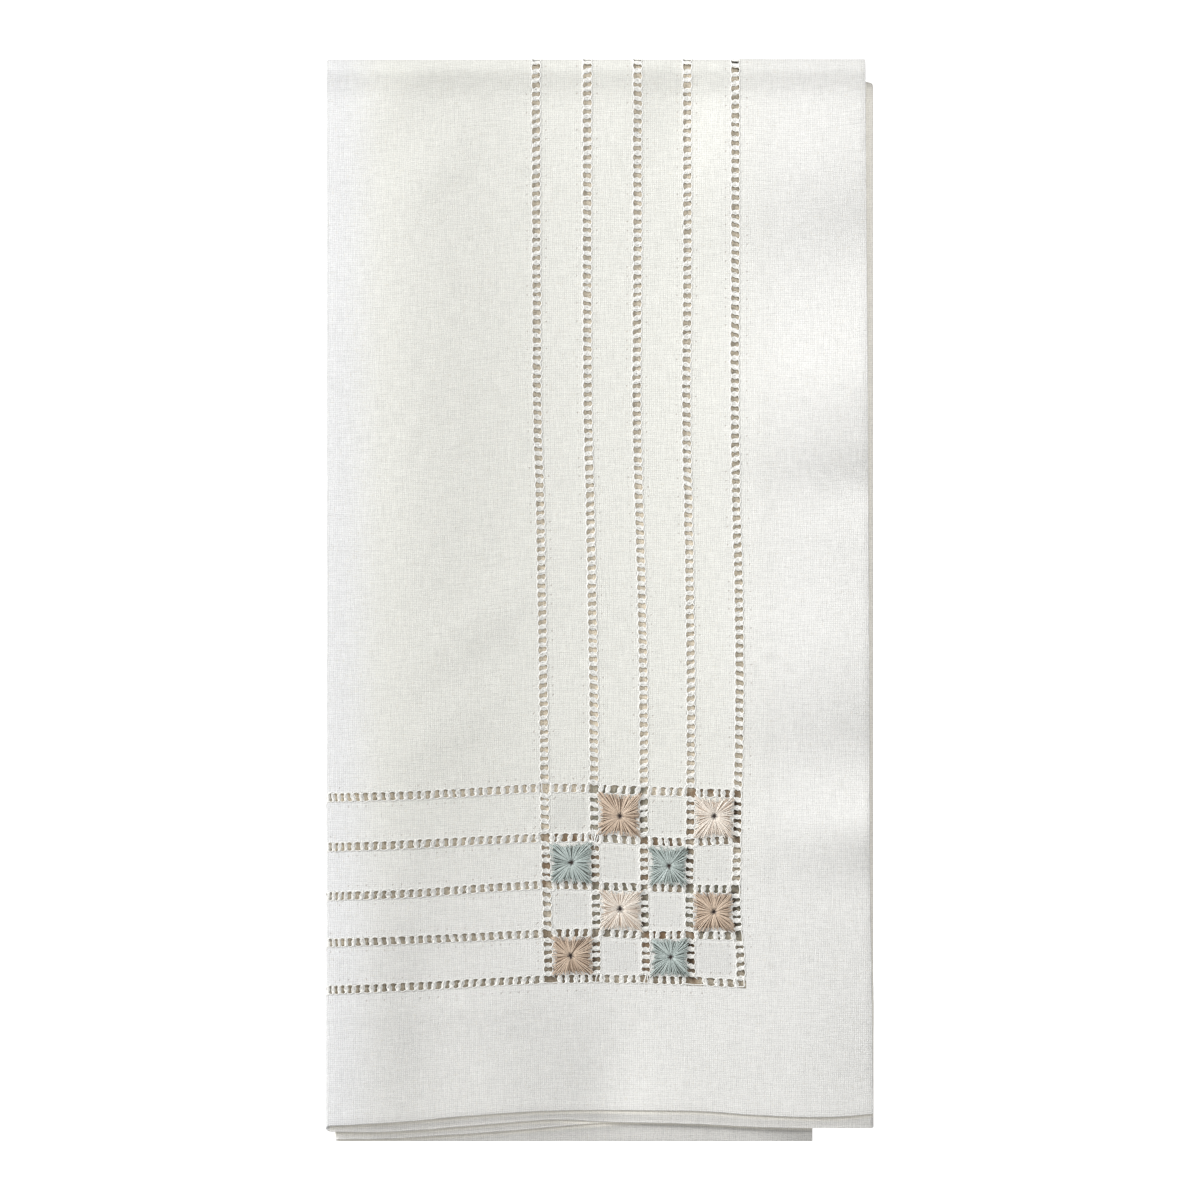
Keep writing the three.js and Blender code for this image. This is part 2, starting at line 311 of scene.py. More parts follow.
def level_shift(x, up, bottom, bend_start):
    """How far the front panel's cloth strays from straight above its hem, as its level ladders do."""
    anchors = [0.0, *LADDERS, bend_start]
    shifts = [0.0]
    for k, ladder in enumerate(LADDERS):
        shifts.append(line_through(LEVEL_LINES[:, 0], LEVEL_LINES[:, k + 1], x) - bottom - ladder)
    shifts.append(0.0)
    total = np.zeros_like(x)
    for k in range(len(anchors) - 1):
        share = np.clip((up - anchors[k]) / (anchors[k + 1] - anchors[k]), 0, 1)
        total += (shifts[k + 1] - shifts[k]) * share
    return total


def bend_sizes(place):
    """The top bend, level and then round two corners: half its straight face, the radius of its corners,
    its level run and the length of cloth round it."""
    low = REACH - place["depth"]
    radius = CORNER_SHARE * low
    straight = low - radius
    level = straight + place["slack"]
    return straight, radius, level, 2 * (level + straight) + math.pi * radius


def swell_at(x, y):
    total = np.zeros_like(x)
    for row in SWELLS:
        swell = dict(zip(SWELL_COLUMNS, row))
        turn = math.radians(swell["turn"])
        from_x = x / MM - swell["x"]
        from_y = y / MM - swell["y"]
        across = from_x * math.cos(turn) + from_y * math.sin(turn)
        along = from_y * math.cos(turn) - from_x * math.sin(turn)
        total += swell["rise"] * np.exp(-(across / swell["across"]) ** 2 - (along / swell["along"]) ** 2)
    return total * MM


def fold_cloth(across, up, height):
    """Where points of the flat cloth lie in the packet."""
    place = place_across(across)
    on_front = across <= FRONT_WIDTH
    bend_start = BEND_AXIS - place["bottom"]
    straight, radius, level, arc = bend_sizes(place)
    risen = np.minimum(up, bend_start)
    x = place["x"]
    x[on_front] = front_x(across[on_front], (place["bottom"] + risen)[on_front])
    shift = level_shift(x, risen, place["bottom"], bend_start) * place["front"]
    y_front = place["bottom"] + risen + shift
    x[on_front] = front_x(across[on_front], y_front[on_front])
    x = x + place["normal_x"] * height
    beyond_hems = eased(up, BORDER_START, BORDER_START + HEM_SETTLE)
    front_half = eased(up, HALF_LENGTH, HALF_LENGTH - HALF_SETTLE)
    near_hems = place["depth"] * (1 - HEM_PITCH / PITCH) * front_half
    nearer = mix(near_hems, place["near"] * (PITCH - NEAR_PITCH), beyond_hems)
    nearer *= eased(up, FLAT_LENGTH - BACK_HEM, FLAT_LENGTH - BACK_HEM - BACK_SETTLE)
    reach = REACH - place["depth"] + nearer - place["normal_depth"] * height

    from_nose = up - bend_start - arc / 2
    past = np.abs(from_nose)
    corner = np.clip((past - straight) / radius, 0, math.pi / 2)
    bent = reach - straight
    out = level - np.clip(past - straight - radius * math.pi / 2, 0, level) + bent * np.cos(corner)
    share = np.where(from_nose < 0, 1, -1) * (np.minimum(past, straight) + bent * np.sin(corner)) / reach

    beyond = np.maximum(up - bend_start - arc, 0)
    length = FLAT_LENGTH - bend_start - arc
    far_edge = np.maximum(BEND_AXIS - length, place["bottom"] + TUCK)
    y_back = BEND_AXIS - beyond * (BEND_AXIS - far_edge) / length
    y = np.where(up < bend_start, y_front, y_back + out)

    rise = swell_at(x, y) * reach / REACH * np.maximum(share, 0) ** 2
    drawn = reach * share * (1 - BACK_DRAW * np.maximum(-share, 0))
    return np.stack([x, y, MIDDLE + drawn + rise], axis=-1)


def from_edge(across, up):
    """How far places on the flat cloth lie from its nearest edge."""
    return np.minimum(np.minimum(across, FLAT_WIDTH - across), np.minimum(up, FLAT_LENGTH - up))


def hem_lift(across, up):
    """How far the doubled hems stand above the single cloth, on each face."""
    edge = from_edge(across, up)
    doubled = 1 - eased(edge, BORDER_START, BORDER_START + HEM_STEP)
    tripled = eased(edge, TURN_UNDER, TURN_UNDER + HEM_STEP) * doubled
    return HEM_RISE * doubled + TURN_UNDER_RISE * tripled


# Meshes

def new_piece(name, vertices, faces, material):
    """A piece in the packet's own frame; main puts it on the root body."""
    mesh = bpy.data.meshes.new(name)
    mesh.from_pydata(vertices, [], faces)
    return finish_piece(name, mesh, material)


def finish_piece(name, mesh, material):
    mesh.name = name
    mesh.materials.clear()
    mesh.materials.append(material)
    piece = bpy.data.objects.new(name, mesh)
    bpy.context.scene.collection.objects.link(piece)
    return piece


def spaced(start, end, step):
    """Places from start up to but not including end, about a step apart."""
    count = max(1, round((end - start) / step))
    return list(np.linspace(start, end, count + 1)[:-1])


# The cloth: a closed sheet, with its slots cut

# Its grid: places round the edge and across a square's middle, and how far apart the lines are elsewhere
ROUND_PLACES = [0.0, 0.08, 0.25, 0.5, 0.8]
GAP_PLACES = [-3.6, -2.1, -0.6, 0.6, 2.1, 3.6]
SLOT_THIRD = SLOT_HALF / 3
PAST_TURN = 2.2 * MM
FINE_STEP = 1.7 * MM
COARSE_STEP = 8.0 * MM
UNDER_STEP = 1.0 * MM
UNDER_LADDERS = (-18 * MM, 39 * MM)
FAR_STEP = 8.0 * MM
FAR_HEM_LIP = 1.0 * MM
FAR_HEM_LINE = 15 * MM
TURN_STEPS = 8
BEND_STEPS = 26
SHARP_ANGLE = math.radians(50)

# About how far the front hem lies below the middle, and how far up the cloth the bend ends
FRONT_HEM = 128 * MM
BEND_END = 275 * MM

# More bars than any ladder has past the lattice
MOST_BARS = 300

# Painted shade in the holes round a star, partly the floss carried behind it, in millimetres from its
# middle:
# how shaded it is to the right, above, to the left and below, how deep the painted shadow in the gap is to
# the right and below, and how far each reaches
STAR_SHADES = (0.7, 0.85, 0.75, 0.45)
SHADOW_GAP_DEPTHS = (0.8, 0.5)
SHADE_REACH = 7.0
SHADOW_GAP_REACH = 6.4
SHADE_EDGE = 1.0
CONTACT_FAR = 5.0 * MM


def border_lines():
    """Grid places through one hem and the lattice: round edge, hem, slot edges and squares."""
    places = [EDGE_ROUND * share for share in ROUND_PLACES]
    places += spaced(EDGE_ROUND, TURN_UNDER, FINE_STEP)
    places += [TURN_UNDER + HEM_STEP / 3, TURN_UNDER + HEM_STEP]
    places += spaced(TURN_UNDER + PAST_TURN, BORDER_START, FINE_STEP)
    for k, ladder in enumerate(LADDERS):
        places += [ladder - SLOT_HALF, ladder - SLOT_THIRD, ladder + SLOT_THIRD, ladder + SLOT_HALF]
        if k < LADDER_COUNT - 1:
            middle = ladder + LADDER_SPACING / 2
            places += [middle + offset * MM for offset in GAP_PLACES]
    return places


def cloth_columns():
    columns = border_lines()
    columns += spaced(LATTICE_END + FINE_STEP, FRONT_WIDTH, FINE_STEP)
    start = FRONT_WIDTH
    for panel, width, x_start, _ in PANELS[1:]:
        columns += [start + TURN_LENGTH * step / TURN_STEPS for step in range(TURN_STEPS)]
        start += TURN_LENGTH
        end = start + width if width else FLAT_WIDTH - BORDER_START
        if panel == 1:
            left, right = (start + x - x_start for x in UNDER_LADDERS)
            columns += [start] + spaced(LEVEL_END, left, COARSE_STEP) + spaced(left, right, UNDER_STEP)
            columns += spaced(right, end, COARSE_STEP)
        else:
            columns += spaced(start, end, COARSE_STEP)
        start = end
    columns += [start, FLAT_WIDTH - FAR_HEM_LINE]
    columns += [FLAT_WIDTH - EDGE_ROUND * share for share in reversed(ROUND_PLACES)]
    return np.array(columns)


def cloth_rows(columns):
    """How far up each grid row lies at each column: level rows, then rows that share out the rise to the
    bend, the bend and the back, then level rows again."""
    place = place_across(columns)
    bend_start = BEND_AXIS - place["bottom"]
    bend_end = bend_start + bend_sizes(place)[-1]
    level = np.ones_like(columns)
    rows = [up * level for up in border_lines()]
    rise_count = round((BEND_AXIS + FRONT_HEM - LATTICE_END) / FINE_STEP)
    rows += [mix(LATTICE_END, bend_start, step / rise_count) for step in range(1, rise_count + 1)]
    rows += [mix(bend_start, bend_end, step / BEND_STEPS) for step in range(1, BEND_STEPS + 1)]
    back_end = FLAT_LENGTH - BORDER_START
    back_count = round((back_end - BEND_END) / FAR_STEP)
    rows += [mix(bend_end, back_end, step / back_count) for step in range(1, back_count + 1)]
    rows += [(back_end + FAR_HEM_LIP) * level, (FLAT_LENGTH - FAR_HEM_LINE) * level]
    rows += [(FLAT_LENGTH - EDGE_ROUND * share) * level for share in reversed(ROUND_PLACES)]
    return np.array(rows)


def between(places, start, end):
    """Which gaps between neighbouring places lie inside start and end."""
    middles = (places[1:] + places[:-1]) / 2
    return (middles > start) & (middles < end)


def slots_in(places):
    inside = np.zeros(len(places) - 1, bool)
    for ladder in LADDERS:
        inside |= between(places, ladder - SLOT_HALF, ladder + SLOT_HALF)
    return inside


def star_middle(star):
    """Where a star's middle lies across and up the flat cloth."""
    across = LADDERS[LADDER_COUNT - 1 - star["column"]] + LADDER_SPACING / 2 - star["right"] * MM
    up = LADDERS[LADDER_COUNT - 1 - star["line"]] + LADDER_SPACING / 2 + star["above"] * MM
    return across, up


def open_cells(columns, rows):
    """The cells of the grid that are cut away for the slots."""
    ups = rows[:, 0]
    upright = slots_in(columns)
    level = slots_in(ups)
    border_across = between(columns, BORDER_START, LEVEL_END)
    border_up = between(ups, BORDER_START, FLAT_LENGTH - BORDER_START)
    return np.outer(border_up, upright) | np.outer(level, border_across)


def half_thickness(across, up):
    inward = np.clip(1 - from_edge(across, up) / EDGE_ROUND, 0, 1)
    return (THICKNESS / 2 + hem_lift(across, up)) * np.sqrt(1 - inward * inward)


def bar_count_at(place, pitch):
    """How many bars lie before a place along a ladder, as a smooth count for the needle holes."""
    cell = len(CELL_BARS)
    knots = [0.0]
    counts = [0.0]
    for k, ladder in enumerate(LADDERS[:-1]):
        knots += [ladder + step for step in CELL_BARS]
        counts += [k * cell + n + 0.5 for n in range(cell)]
    first = LADDERS[-1] + CELL_BARS[0]
    before = (LADDER_COUNT - 1) * cell + 0.5
    knots += [first, first + MOST_BARS * pitch]
    counts += [before, before + MOST_BARS]
    return np.interp(place, knots, counts)


def under_stars(across, up, placed):
    """Painted shade of the second layer in the holes round each star, partly the floss carried behind the
    square: how shaded it is, how green that shade is, and how deep the painted shadow in the gap close to
    the star is."""
    start = FRONT_WIDTH + TURN_LENGTH
    second = (across > start) & (across < start + PANELS[1][1]) & (up < HALF_LENGTH)
    shade, green, gap = np.zeros_like(across), np.zeros_like(across), np.zeros_like(across)
    for star in STARS:
        middle = np.array([[place] for place in star_middle(star)])
        star_x, star_y = fold_cloth(*middle, np.zeros(1))[0, :2]
        right = (placed[:, 0] - star_x) / MM
        above = (placed[:, 1] - star_y) / MM
        away = np.maximum(np.abs(right), np.abs(above))
        side = np.select([right >= away, above >= away, -right >= away], STAR_SHADES[:3], STAR_SHADES[3])
        here = side * (1 - eased(away, SHADE_REACH, SHADE_REACH + SHADE_EDGE))
        green = np.where(here > shade, star["green"], green)
        shade = np.maximum(shade, here)
        deep = np.select([right >= away, -above >= away], SHADOW_GAP_DEPTHS, 0.0)
        gap = np.maximum(gap, deep * eased(away, SHADOW_GAP_REACH, SHADOW_GAP_REACH - SHADE_EDGE))
    return np.where(second, shade, 0.0), green, np.where(second, gap, 0.0)


def below_hems(across, up, placed):
    """How far each point of an inner layer lies below the bottom hem of the layer over it."""
    panel = np.round(place_across(across)["depth"] / PITCH).astype(int)
    below = np.full_like(across, CONTACT_FAR)
    for over in range(len(BOTTOM_HEMS) - 1):
        inner = (panel == over + 1) & (up < HALF_LENGTH)
        below = np.where(inner, bottom_of(over, placed[:, 0]) - placed[:, 1], below)
    return np.clip(below, -CONTACT_FAR, CONTACT_FAR)


def cloth_faces(right, wrong, kept):
    """Quads of both sides of the cloth, and of the walls between cells that are kept and cells cut away."""
    low = np.s_[:-1]
    high = np.s_[1:]
    faces = []
    for index, turned in ((right, False), (wrong, True)):
        corners = [index[low, low], index[high, low], index[high, high], index[low, high]]
        quads = np.stack([corner[kept] for corner in corners], axis=-1)
        faces.append(quads[:, ::-1] if turned else quads)
    for axis in (0, 1):
        before = kept[:-1, :] if axis == 0 else kept[:, :-1]
        after = kept[1:, :] if axis == 0 else kept[:, 1:]
        for solid_first in (True, False):
            wall = before & ~after if solid_first else ~before & after
            row, column = np.nonzero(wall)
            if axis == 0:
                start = (row + 1, column)
                end = (row + 1, column + 1)
            else:
                start = (row + 1, column + 1)
                end = (row, column + 1)
            quads = np.stack([right[start], right[end], wrong[end], wrong[start]], axis=-1)
            faces.append(quads if solid_first else quads[:, ::-1])
    return np.concatenate(faces)


def keep_on_cloth(mesh, across, up, placed):
    """Gives the cloth's mesh its flat map and the values that its material reads."""
    loops = np.empty(len(mesh.loops), np.int32)
    mesh.loops.foreach_get("vertex_index", loops)
    uv = mesh.uv_layers.new(name="ClothMap")
    flat_uv = np.stack([across[loops] / FLAT_WIDTH, up[loops] / FLAT_LENGTH], axis=-1)
    uv.uv.foreach_set("vector", flat_uv.astype(np.float32).ravel())
    shade, green, gap = under_stars(across, up, placed)
    kept_values = {
        "upright_bars": bar_count_at(up, UPRIGHT_PITCH),
        "level_bars": bar_count_at(across, LEVEL_PITCH),
        "star_shade": shade,
        "star_green": green,
        "star_shadow_gap": gap,
        "below_hem": below_hems(across, up, placed) / MM,
    }
    for name, values in kept_values.items():
        kept = mesh.attributes.new(name, "FLOAT", "POINT")
        kept.data.foreach_set("value", values.astype(np.float32))


def make_cloth(material):
    columns = cloth_columns()
    ups = cloth_rows(columns)
    rows, count = ups.shape
    across = np.broadcast_to(columns, ups.shape)
    half = half_thickness(across, ups)
    flat = [(across.ravel(), ups.ravel(), side * half.ravel()) for side in (1, -1)]
    vertices = np.concatenate([fold_cloth(*points) for points in flat])
    right = np.arange(rows * count).reshape(rows, count)
    wrong = right + rows * count
    for rim in (np.s_[0, :], np.s_[-1, :], np.s_[:, 0], np.s_[:, -1]):
        wrong[rim] = right[rim]

    faces = cloth_faces(right, wrong, ~open_cells(columns, ups))
    used, compact = np.unique(faces, return_inverse=True)
    faces = compact.reshape(faces.shape)
    placed = vertices[used]
    piece = new_piece("folded_linen", placed.tolist(), faces.tolist(), material)
    keep_on_cloth(piece.data, np.tile(across.ravel(), 2)[used], np.tile(ups.ravel(), 2)[used], placed)
    piece.data.shade_smooth()
    piece.data.set_sharp_from_angle(angle=SHARP_ANGLE)
    return piece


# Node trees

class Number:
    """A number inside a node tree. Sums and products of numbers add the nodes that work them out."""

    def __init__(self, tree, socket):
        self.tree = tree
        self.socket = socket

    def math(self, operation, *others):
        node = self.tree.nodes.new("ShaderNodeMath")
        node.operation = operation
        for place, value in enumerate((self, *others)):
            plug(self.tree, node.inputs[place], value)
        return Number(self.tree, node.outputs[0])

    def __add__(self, other):
        return self.math("ADD", other)

    def __sub__(self, other):
        return self.math("SUBTRACT", other)

    def __mul__(self, other):
        return self.math("MULTIPLY", other)

    def __truediv__(self, other):
        return self.math("DIVIDE", other)

    def __neg__(self):
        return self.math("MULTIPLY", -1.0)

    def __radd__(self, other):
        return self + other

    def __rmul__(self, other):
        return self * other

    def __rsub__(self, other):
        return (-self) + other

    def power(self, other):
        return self.math("POWER", other)

    def sin(self):
        return self.math("SINE")

    def cos(self):
        return self.math("COSINE")

    def abs(self):
        return self.math("ABSOLUTE")

    def fraction(self):
        return self.math("FRACT")

    def ramp(self, start, end, low=0.0, high=1.0, kind="SMOOTHSTEP"):
        """Eases from low to high as this number goes from start to end."""
        node = self.tree.nodes.new("ShaderNodeMapRange")
        node.interpolation_type = kind
        for name, value in (("Value", self), ("From Min", start), ("From Max", end),
                            ("To Min", low), ("To Max", high)):
            plug(self.tree, node.inputs[name], value)
        return Number(self.tree, node.outputs["Result"])


def plug(tree, socket, value):
    """Gives an input a fixed value, or joins it to a number or another socket."""
    if isinstance(value, Number):
        value = value.socket
    if isinstance(value, bpy.types.NodeSocket):
        tree.links.new(value, socket)
    else:
        socket.default_value = value


def add_node(tree, kind, inputs=None, **settings):
    node = tree.nodes.new(kind)
    for name, value in settings.items():
        setattr(node, name, value)
    for name, value in (inputs or {}).items():
        plug(tree, node.inputs[name], value)
    return node


def vector(tree, x, y, z):
    return add_node(tree, "ShaderNodeCombineXYZ", {"X": x, "Y": y, "Z": z}).outputs[0]


def parts_of(tree, socket):
    node = add_node(tree, "ShaderNodeSeparateXYZ", {0: socket})
    return [Number(tree, output) for output in node.outputs]


def added(tree, first, second):
    """The sum of two vectors."""
    return add_node(tree, "ShaderNodeVectorMath", {0: first, 1: second}, operation="ADD").outputs[0]


def scaled(tree, direction, amount):
    """A vector or a colour times a number."""
    inputs = {0: direction, "Scale": amount}
    return add_node(tree, "ShaderNodeVectorMath", inputs, operation="SCALE").outputs[0]


# Geometry Nodes: bundles of thread, threads along a path, and stars

INPUT_KINDS = {
    "Geometry": "NodeSocketGeometry",
    "Material": "NodeSocketMaterial",
    "Strands": "NodeSocketInt",
    "Steps": "NodeSocketInt",
    "Sides": "NodeSocketInt",
    "Seed": "NodeSocketInt",
}


class Pattern:
    """A Geometry Nodes tree with named inputs, built a node at a time."""

    def __init__(self, name, sizes):
        self.tree = bpy.data.node_groups.new(name, "GeometryNodeTree")
        for size in ("Geometry", *sizes, "Material"):
            kind = INPUT_KINDS.get(size, "NodeSocketFloat")
            self.tree.interface.new_socket(size, in_out="INPUT", socket_type=kind)
        self.tree.interface.new_socket("Geometry", in_out="OUTPUT", socket_type="NodeSocketGeometry")
        self.given = self.tree.nodes.new("NodeGroupInput")

    def add(self, kind, inputs=None, **settings):
        return add_node(self.tree, kind, inputs, **settings)

    def size(self, name):
        return Number(self.tree, self.given.outputs[name])

    def kept(self, name, kind="FLOAT"):
        """A number or vector that an earlier step stored on the points."""
        node = self.add("GeometryNodeInputNamedAttribute", {"Name": name}, data_type=kind)
        return Number(self.tree, node.outputs["Attribute"])

    def keep(self, geometry, name, value, kind="FLOAT"):
        """Stores a number or vector on the points."""
        node = self.add("GeometryNodeStoreNamedAttribute", {"Geometry": geometry, "Name": name},
                        data_type=kind, domain="POINT")
        plug(self.tree, node.inputs["Value"], value)
        return node.outputs["Geometry"]

    def random(self, low, high, salt, per=None):
        """A seeded random number for each point, or for each value of per."""
        node = self.add("FunctionNodeRandomValue", {"Seed": self.size("Seed") + salt}, data_type="FLOAT")
        plug(self.tree, node.inputs[2], low)
        plug(self.tree, node.inputs[3], high)
        if per is not None:
            plug(self.tree, node.inputs["ID"], per)
        return Number(self.tree, node.outputs[1])

    def strand(self, steps):
        """A line along X, whose points know their share of the way, from -1 to 1."""
        line = self.add("GeometryNodeCurvePrimitiveLine")
        drawn = self.add("GeometryNodeResampleCurve", {"Curve": line.outputs[0], "Count": steps})
        share = self.add("GeometryNodeSplineParameter").outputs["Factor"]
        way = Number(self.tree, share) * 2.0 - 1.0
        return self.keep(drawn.outputs[0], "way", way)

    def copied(self, points, shape):
        """A copy of a shape at each point, as real geometry."""
        placed = self.add("GeometryNodeInstanceOnPoints", {"Points": points, "Instance": shape})
        return self.add("GeometryNodeRealizeInstances", {"Geometry": placed.outputs[0]}).outputs[0]

    def moved(self, geometry, offset):
        """Points put at an offset from the centre of their own bar or star."""
        place = added(self.tree, self.kept("centre", "FLOAT_VECTOR"), offset)
        return self.add("GeometryNodeSetPosition", {"Geometry": geometry, "Position": place}).outputs[0]

    def tubes(self, curves, radius, sides, thickness=1.0):
        """Round threads along curves, with the way along and around kept for their material."""
        length = self.add("GeometryNodeSplineParameter").outputs["Length"]
        curves = self.keep(curves, "along", length)
        ring = self.add("GeometryNodeCurvePrimitiveCircle", {"Resolution": sides, "Radius": radius})
        turn = self.add("GeometryNodeSplineParameter").outputs["Factor"]
        ring_kept = self.keep(ring.outputs[0], "around", turn)
        return self.add("GeometryNodeCurveToMesh", {
            "Curve": curves, "Profile Curve": ring_kept, "Scale": thickness, "Fill Caps": True}).outputs[0]

    def end(self, geometry):
        """Joins the finished geometry to the tree's output, smooth and in its material."""
        smooth_faces = self.add("GeometryNodeSetShadeSmooth", {"Geometry": geometry})
        real = self.add("GeometryNodeRealizeInstances", {"Geometry": smooth_faces.outputs[0]})
        painted = self.add("GeometryNodeSetMaterial", {"Geometry": real.outputs[0]})
        plug(self.tree, painted.inputs["Material"], self.given.outputs["Material"])
        out = self.tree.nodes.new("NodeGroupOutput")
        self.tree.links.new(painted.outputs[0], out.inputs[0])
        return self.tree


# How the strands of a bar lie: the spread of their waists, how they wander, and their heights
WAIST_SPREAD = (0.85, 1.15)
WANDER_SCALE = 900.0
WANDER_STEPS = (1.2 * MM, 2.1 * MM, 3.0 * MM)
STEADIER_ENDS = 0.7
CROWN_START = 0.2
BAR_CROWN = (0.3, 0.7)
DIVE_START = 0.6
BAR_DIVE = 0.42 * MM
BAR_LIFT = (0.03 * MM, 0.08 * MM)
BAR_TUMBLE = 0.08 * MM
TAPER_START = 0.75
BAR_TAPER = 0.6


def bar_pattern():
    """Bars of a ladder, one at each point: strands fan out of the cloth, are tied, and swell between."""
    sizes = ("Strands", "Steps", "Sides", "Seed", "Reach", "Tie", "Fan Half", "Tie Half", "Waist Half",
             "Strand Radius", "Unevenness")
    make = Pattern("ladder_bars", sizes)
    tree = make.tree
    centre = make.add("GeometryNodeInputPosition").outputs[0]
    number = make.add("GeometryNodeInputIndex").outputs[0]
    points = make.keep(make.given.outputs["Geometry"], "bar", number)
    points = make.keep(points, "centre", centre, "FLOAT_VECTOR")
    copies = make.add("GeometryNodeDuplicateElements",
                      {"Geometry": points, "Amount": make.size("Strands")}, domain="POINT")
    lane = Number(tree, copies.outputs["Duplicate Index"]) / (make.size("Strands") - 1.0) * 2.0 - 1.0
    strands = make.keep(copies.outputs[0], "lane", lane)
    strands = make.keep(strands, "tone", make.random(0.0, 1.0, 1))
    lines = make.copied(strands, make.strand(make.size("Steps")))

    way = make.kept("way")
    lane = make.kept("lane")
    tone = make.kept("tone")
    far = way.abs()
    tie = make.size("Tie") / make.size("Reach")
    waist = make.size("Waist Half") * make.random(*WAIST_SPREAD, 2, make.kept("bar"))
    half = waist + (make.size("Tie Half") - waist) * (far / tie).ramp(0.0, 1.0)
    fan = (far - tie).ramp(0.0, 1.0 - tie, kind="LINEAR")
    half = half + (make.size("Fan Half") - make.size("Tie Half")) * fan
    steps = vector(tree, *(share * step for share, step in zip((way, lane, tone), WANDER_STEPS)))
    place = added(tree, make.kept("centre", "FLOAT_VECTOR"), steps)
    wander = make.add("ShaderNodeTexNoise", {"Vector": place, "Scale": WANDER_SCALE, "Detail": 1.0},
                      noise_dimensions="3D")
    sway = (Number(tree, wander.outputs[0]) - 0.5) * make.size("Unevenness") * (1.0 - far * STEADIER_ENDS)
    aside = lane * half * make.kept("narrow") + sway + way * make.kept("lean")
    ahead = way * make.size("Reach")
    crown = (1.0 - lane * lane) * make.size("Strand Radius") * (far / tie).ramp(CROWN_START, 1.0, *BAR_CROWN)
    dive = far.ramp(DIVE_START, 1.0, 0.0, BAR_DIVE)
    lift = (far / tie).ramp(0.0, 1.0, *BAR_LIFT)
    height = crown + lift - dive + (tone - 0.5) * BAR_TUMBLE
    turn = make.kept("turn")
    right = ahead * turn.cos() - aside * turn.sin()
    above = ahead * turn.sin() + aside * turn.cos()
    shaped = make.moved(lines, vector(tree, right, above, height))
    thickness = far.ramp(TAPER_START, 1.0, 1.0, BAR_TAPER)
    return make.end(make.tubes(shaped, make.size("Strand Radius"), make.size("Sides"), thickness))


THREAD_WANDER = 1500.0


def thread_pattern():
    """Threads along drawn paths. Between two points of a path the thread bows out as the path says."""
    make = Pattern("threads", ("Steps", "Sides", "Thread Radius", "Unevenness", "Point"))
    tree = make.tree
    curves = make.add("GeometryNodeMeshToCurve", {"Mesh": make.given.outputs["Geometry"]})
    cuts = make.size("Steps") - 1.0
    finer = make.add("GeometryNodeSubdivideCurve", {"Curve": curves.outputs[0], "Cuts": cuts})
    place = Number(tree, make.add("GeometryNodeSplineParameter").outputs["Index"])
    share = (place / make.size("Steps")).fraction()
    arch = (share * math.pi).sin().math("MAXIMUM", 0.0).power(make.size("Point"))
    bow = scaled(tree, make.kept("bow", "FLOAT_VECTOR"), arch)
    wander = make.add("ShaderNodeTexNoise", {"Scale": THREAD_WANDER, "Detail": 0.0}, noise_dimensions="3D")
    centred = added(tree, wander.outputs["Color"], (-0.5, -0.5, -0.5))
    shaken = scaled(tree, centred, make.size("Unevenness"))
    shaped = make.add("GeometryNodeSetPosition",
                      {"Geometry": finer.outputs[0], "Offset": added(tree, bow, shaken)})
    return make.end(make.tubes(shaped.outputs[0], make.size("Thread Radius"), make.size("Sides")))


# How the floss of a star lies, as shares of the way out, of the eyelet and of the pad, and as heights
CORNER_LEVEL = 0.45
EYELET_WALL = (0.4, 1.5)
# Where the eyelet's painted shade fades out, as shares of its radius
EYELET_DARK = (0.88, 1.15)
SLOPE_START = 0.2
PAD_SLOPE = 0.15
EDGE_START = 0.9
EDGE_DIVE = 0.6
EYELET_FLOOR = 0.04 * MM
FLOSS_START = 0.4
FLOSS_CURL = 0.06
FLOSS_TUMBLE = 0.16 * MM
FLOSS_LEVEL = 0.35
EYELET_SPREAD = 0.6
FLOSS_TAPER = 0.5
PAD_START = 0.02
PAD_REACH = 0.87
PAD_SINK = 0.12 * MM
PAD_FLOOR = 0.02 * MM
# Painted shade: the pad's tone gives it the floss's dark line colour, for the shade between the strands
PAD_SHADE_TONE = -0.75
PAD_AROUND = 49
PAD_OUTWARD = 10
PAD_CROWDING = 1.6
SAME_PLACE = 0.001 * MM


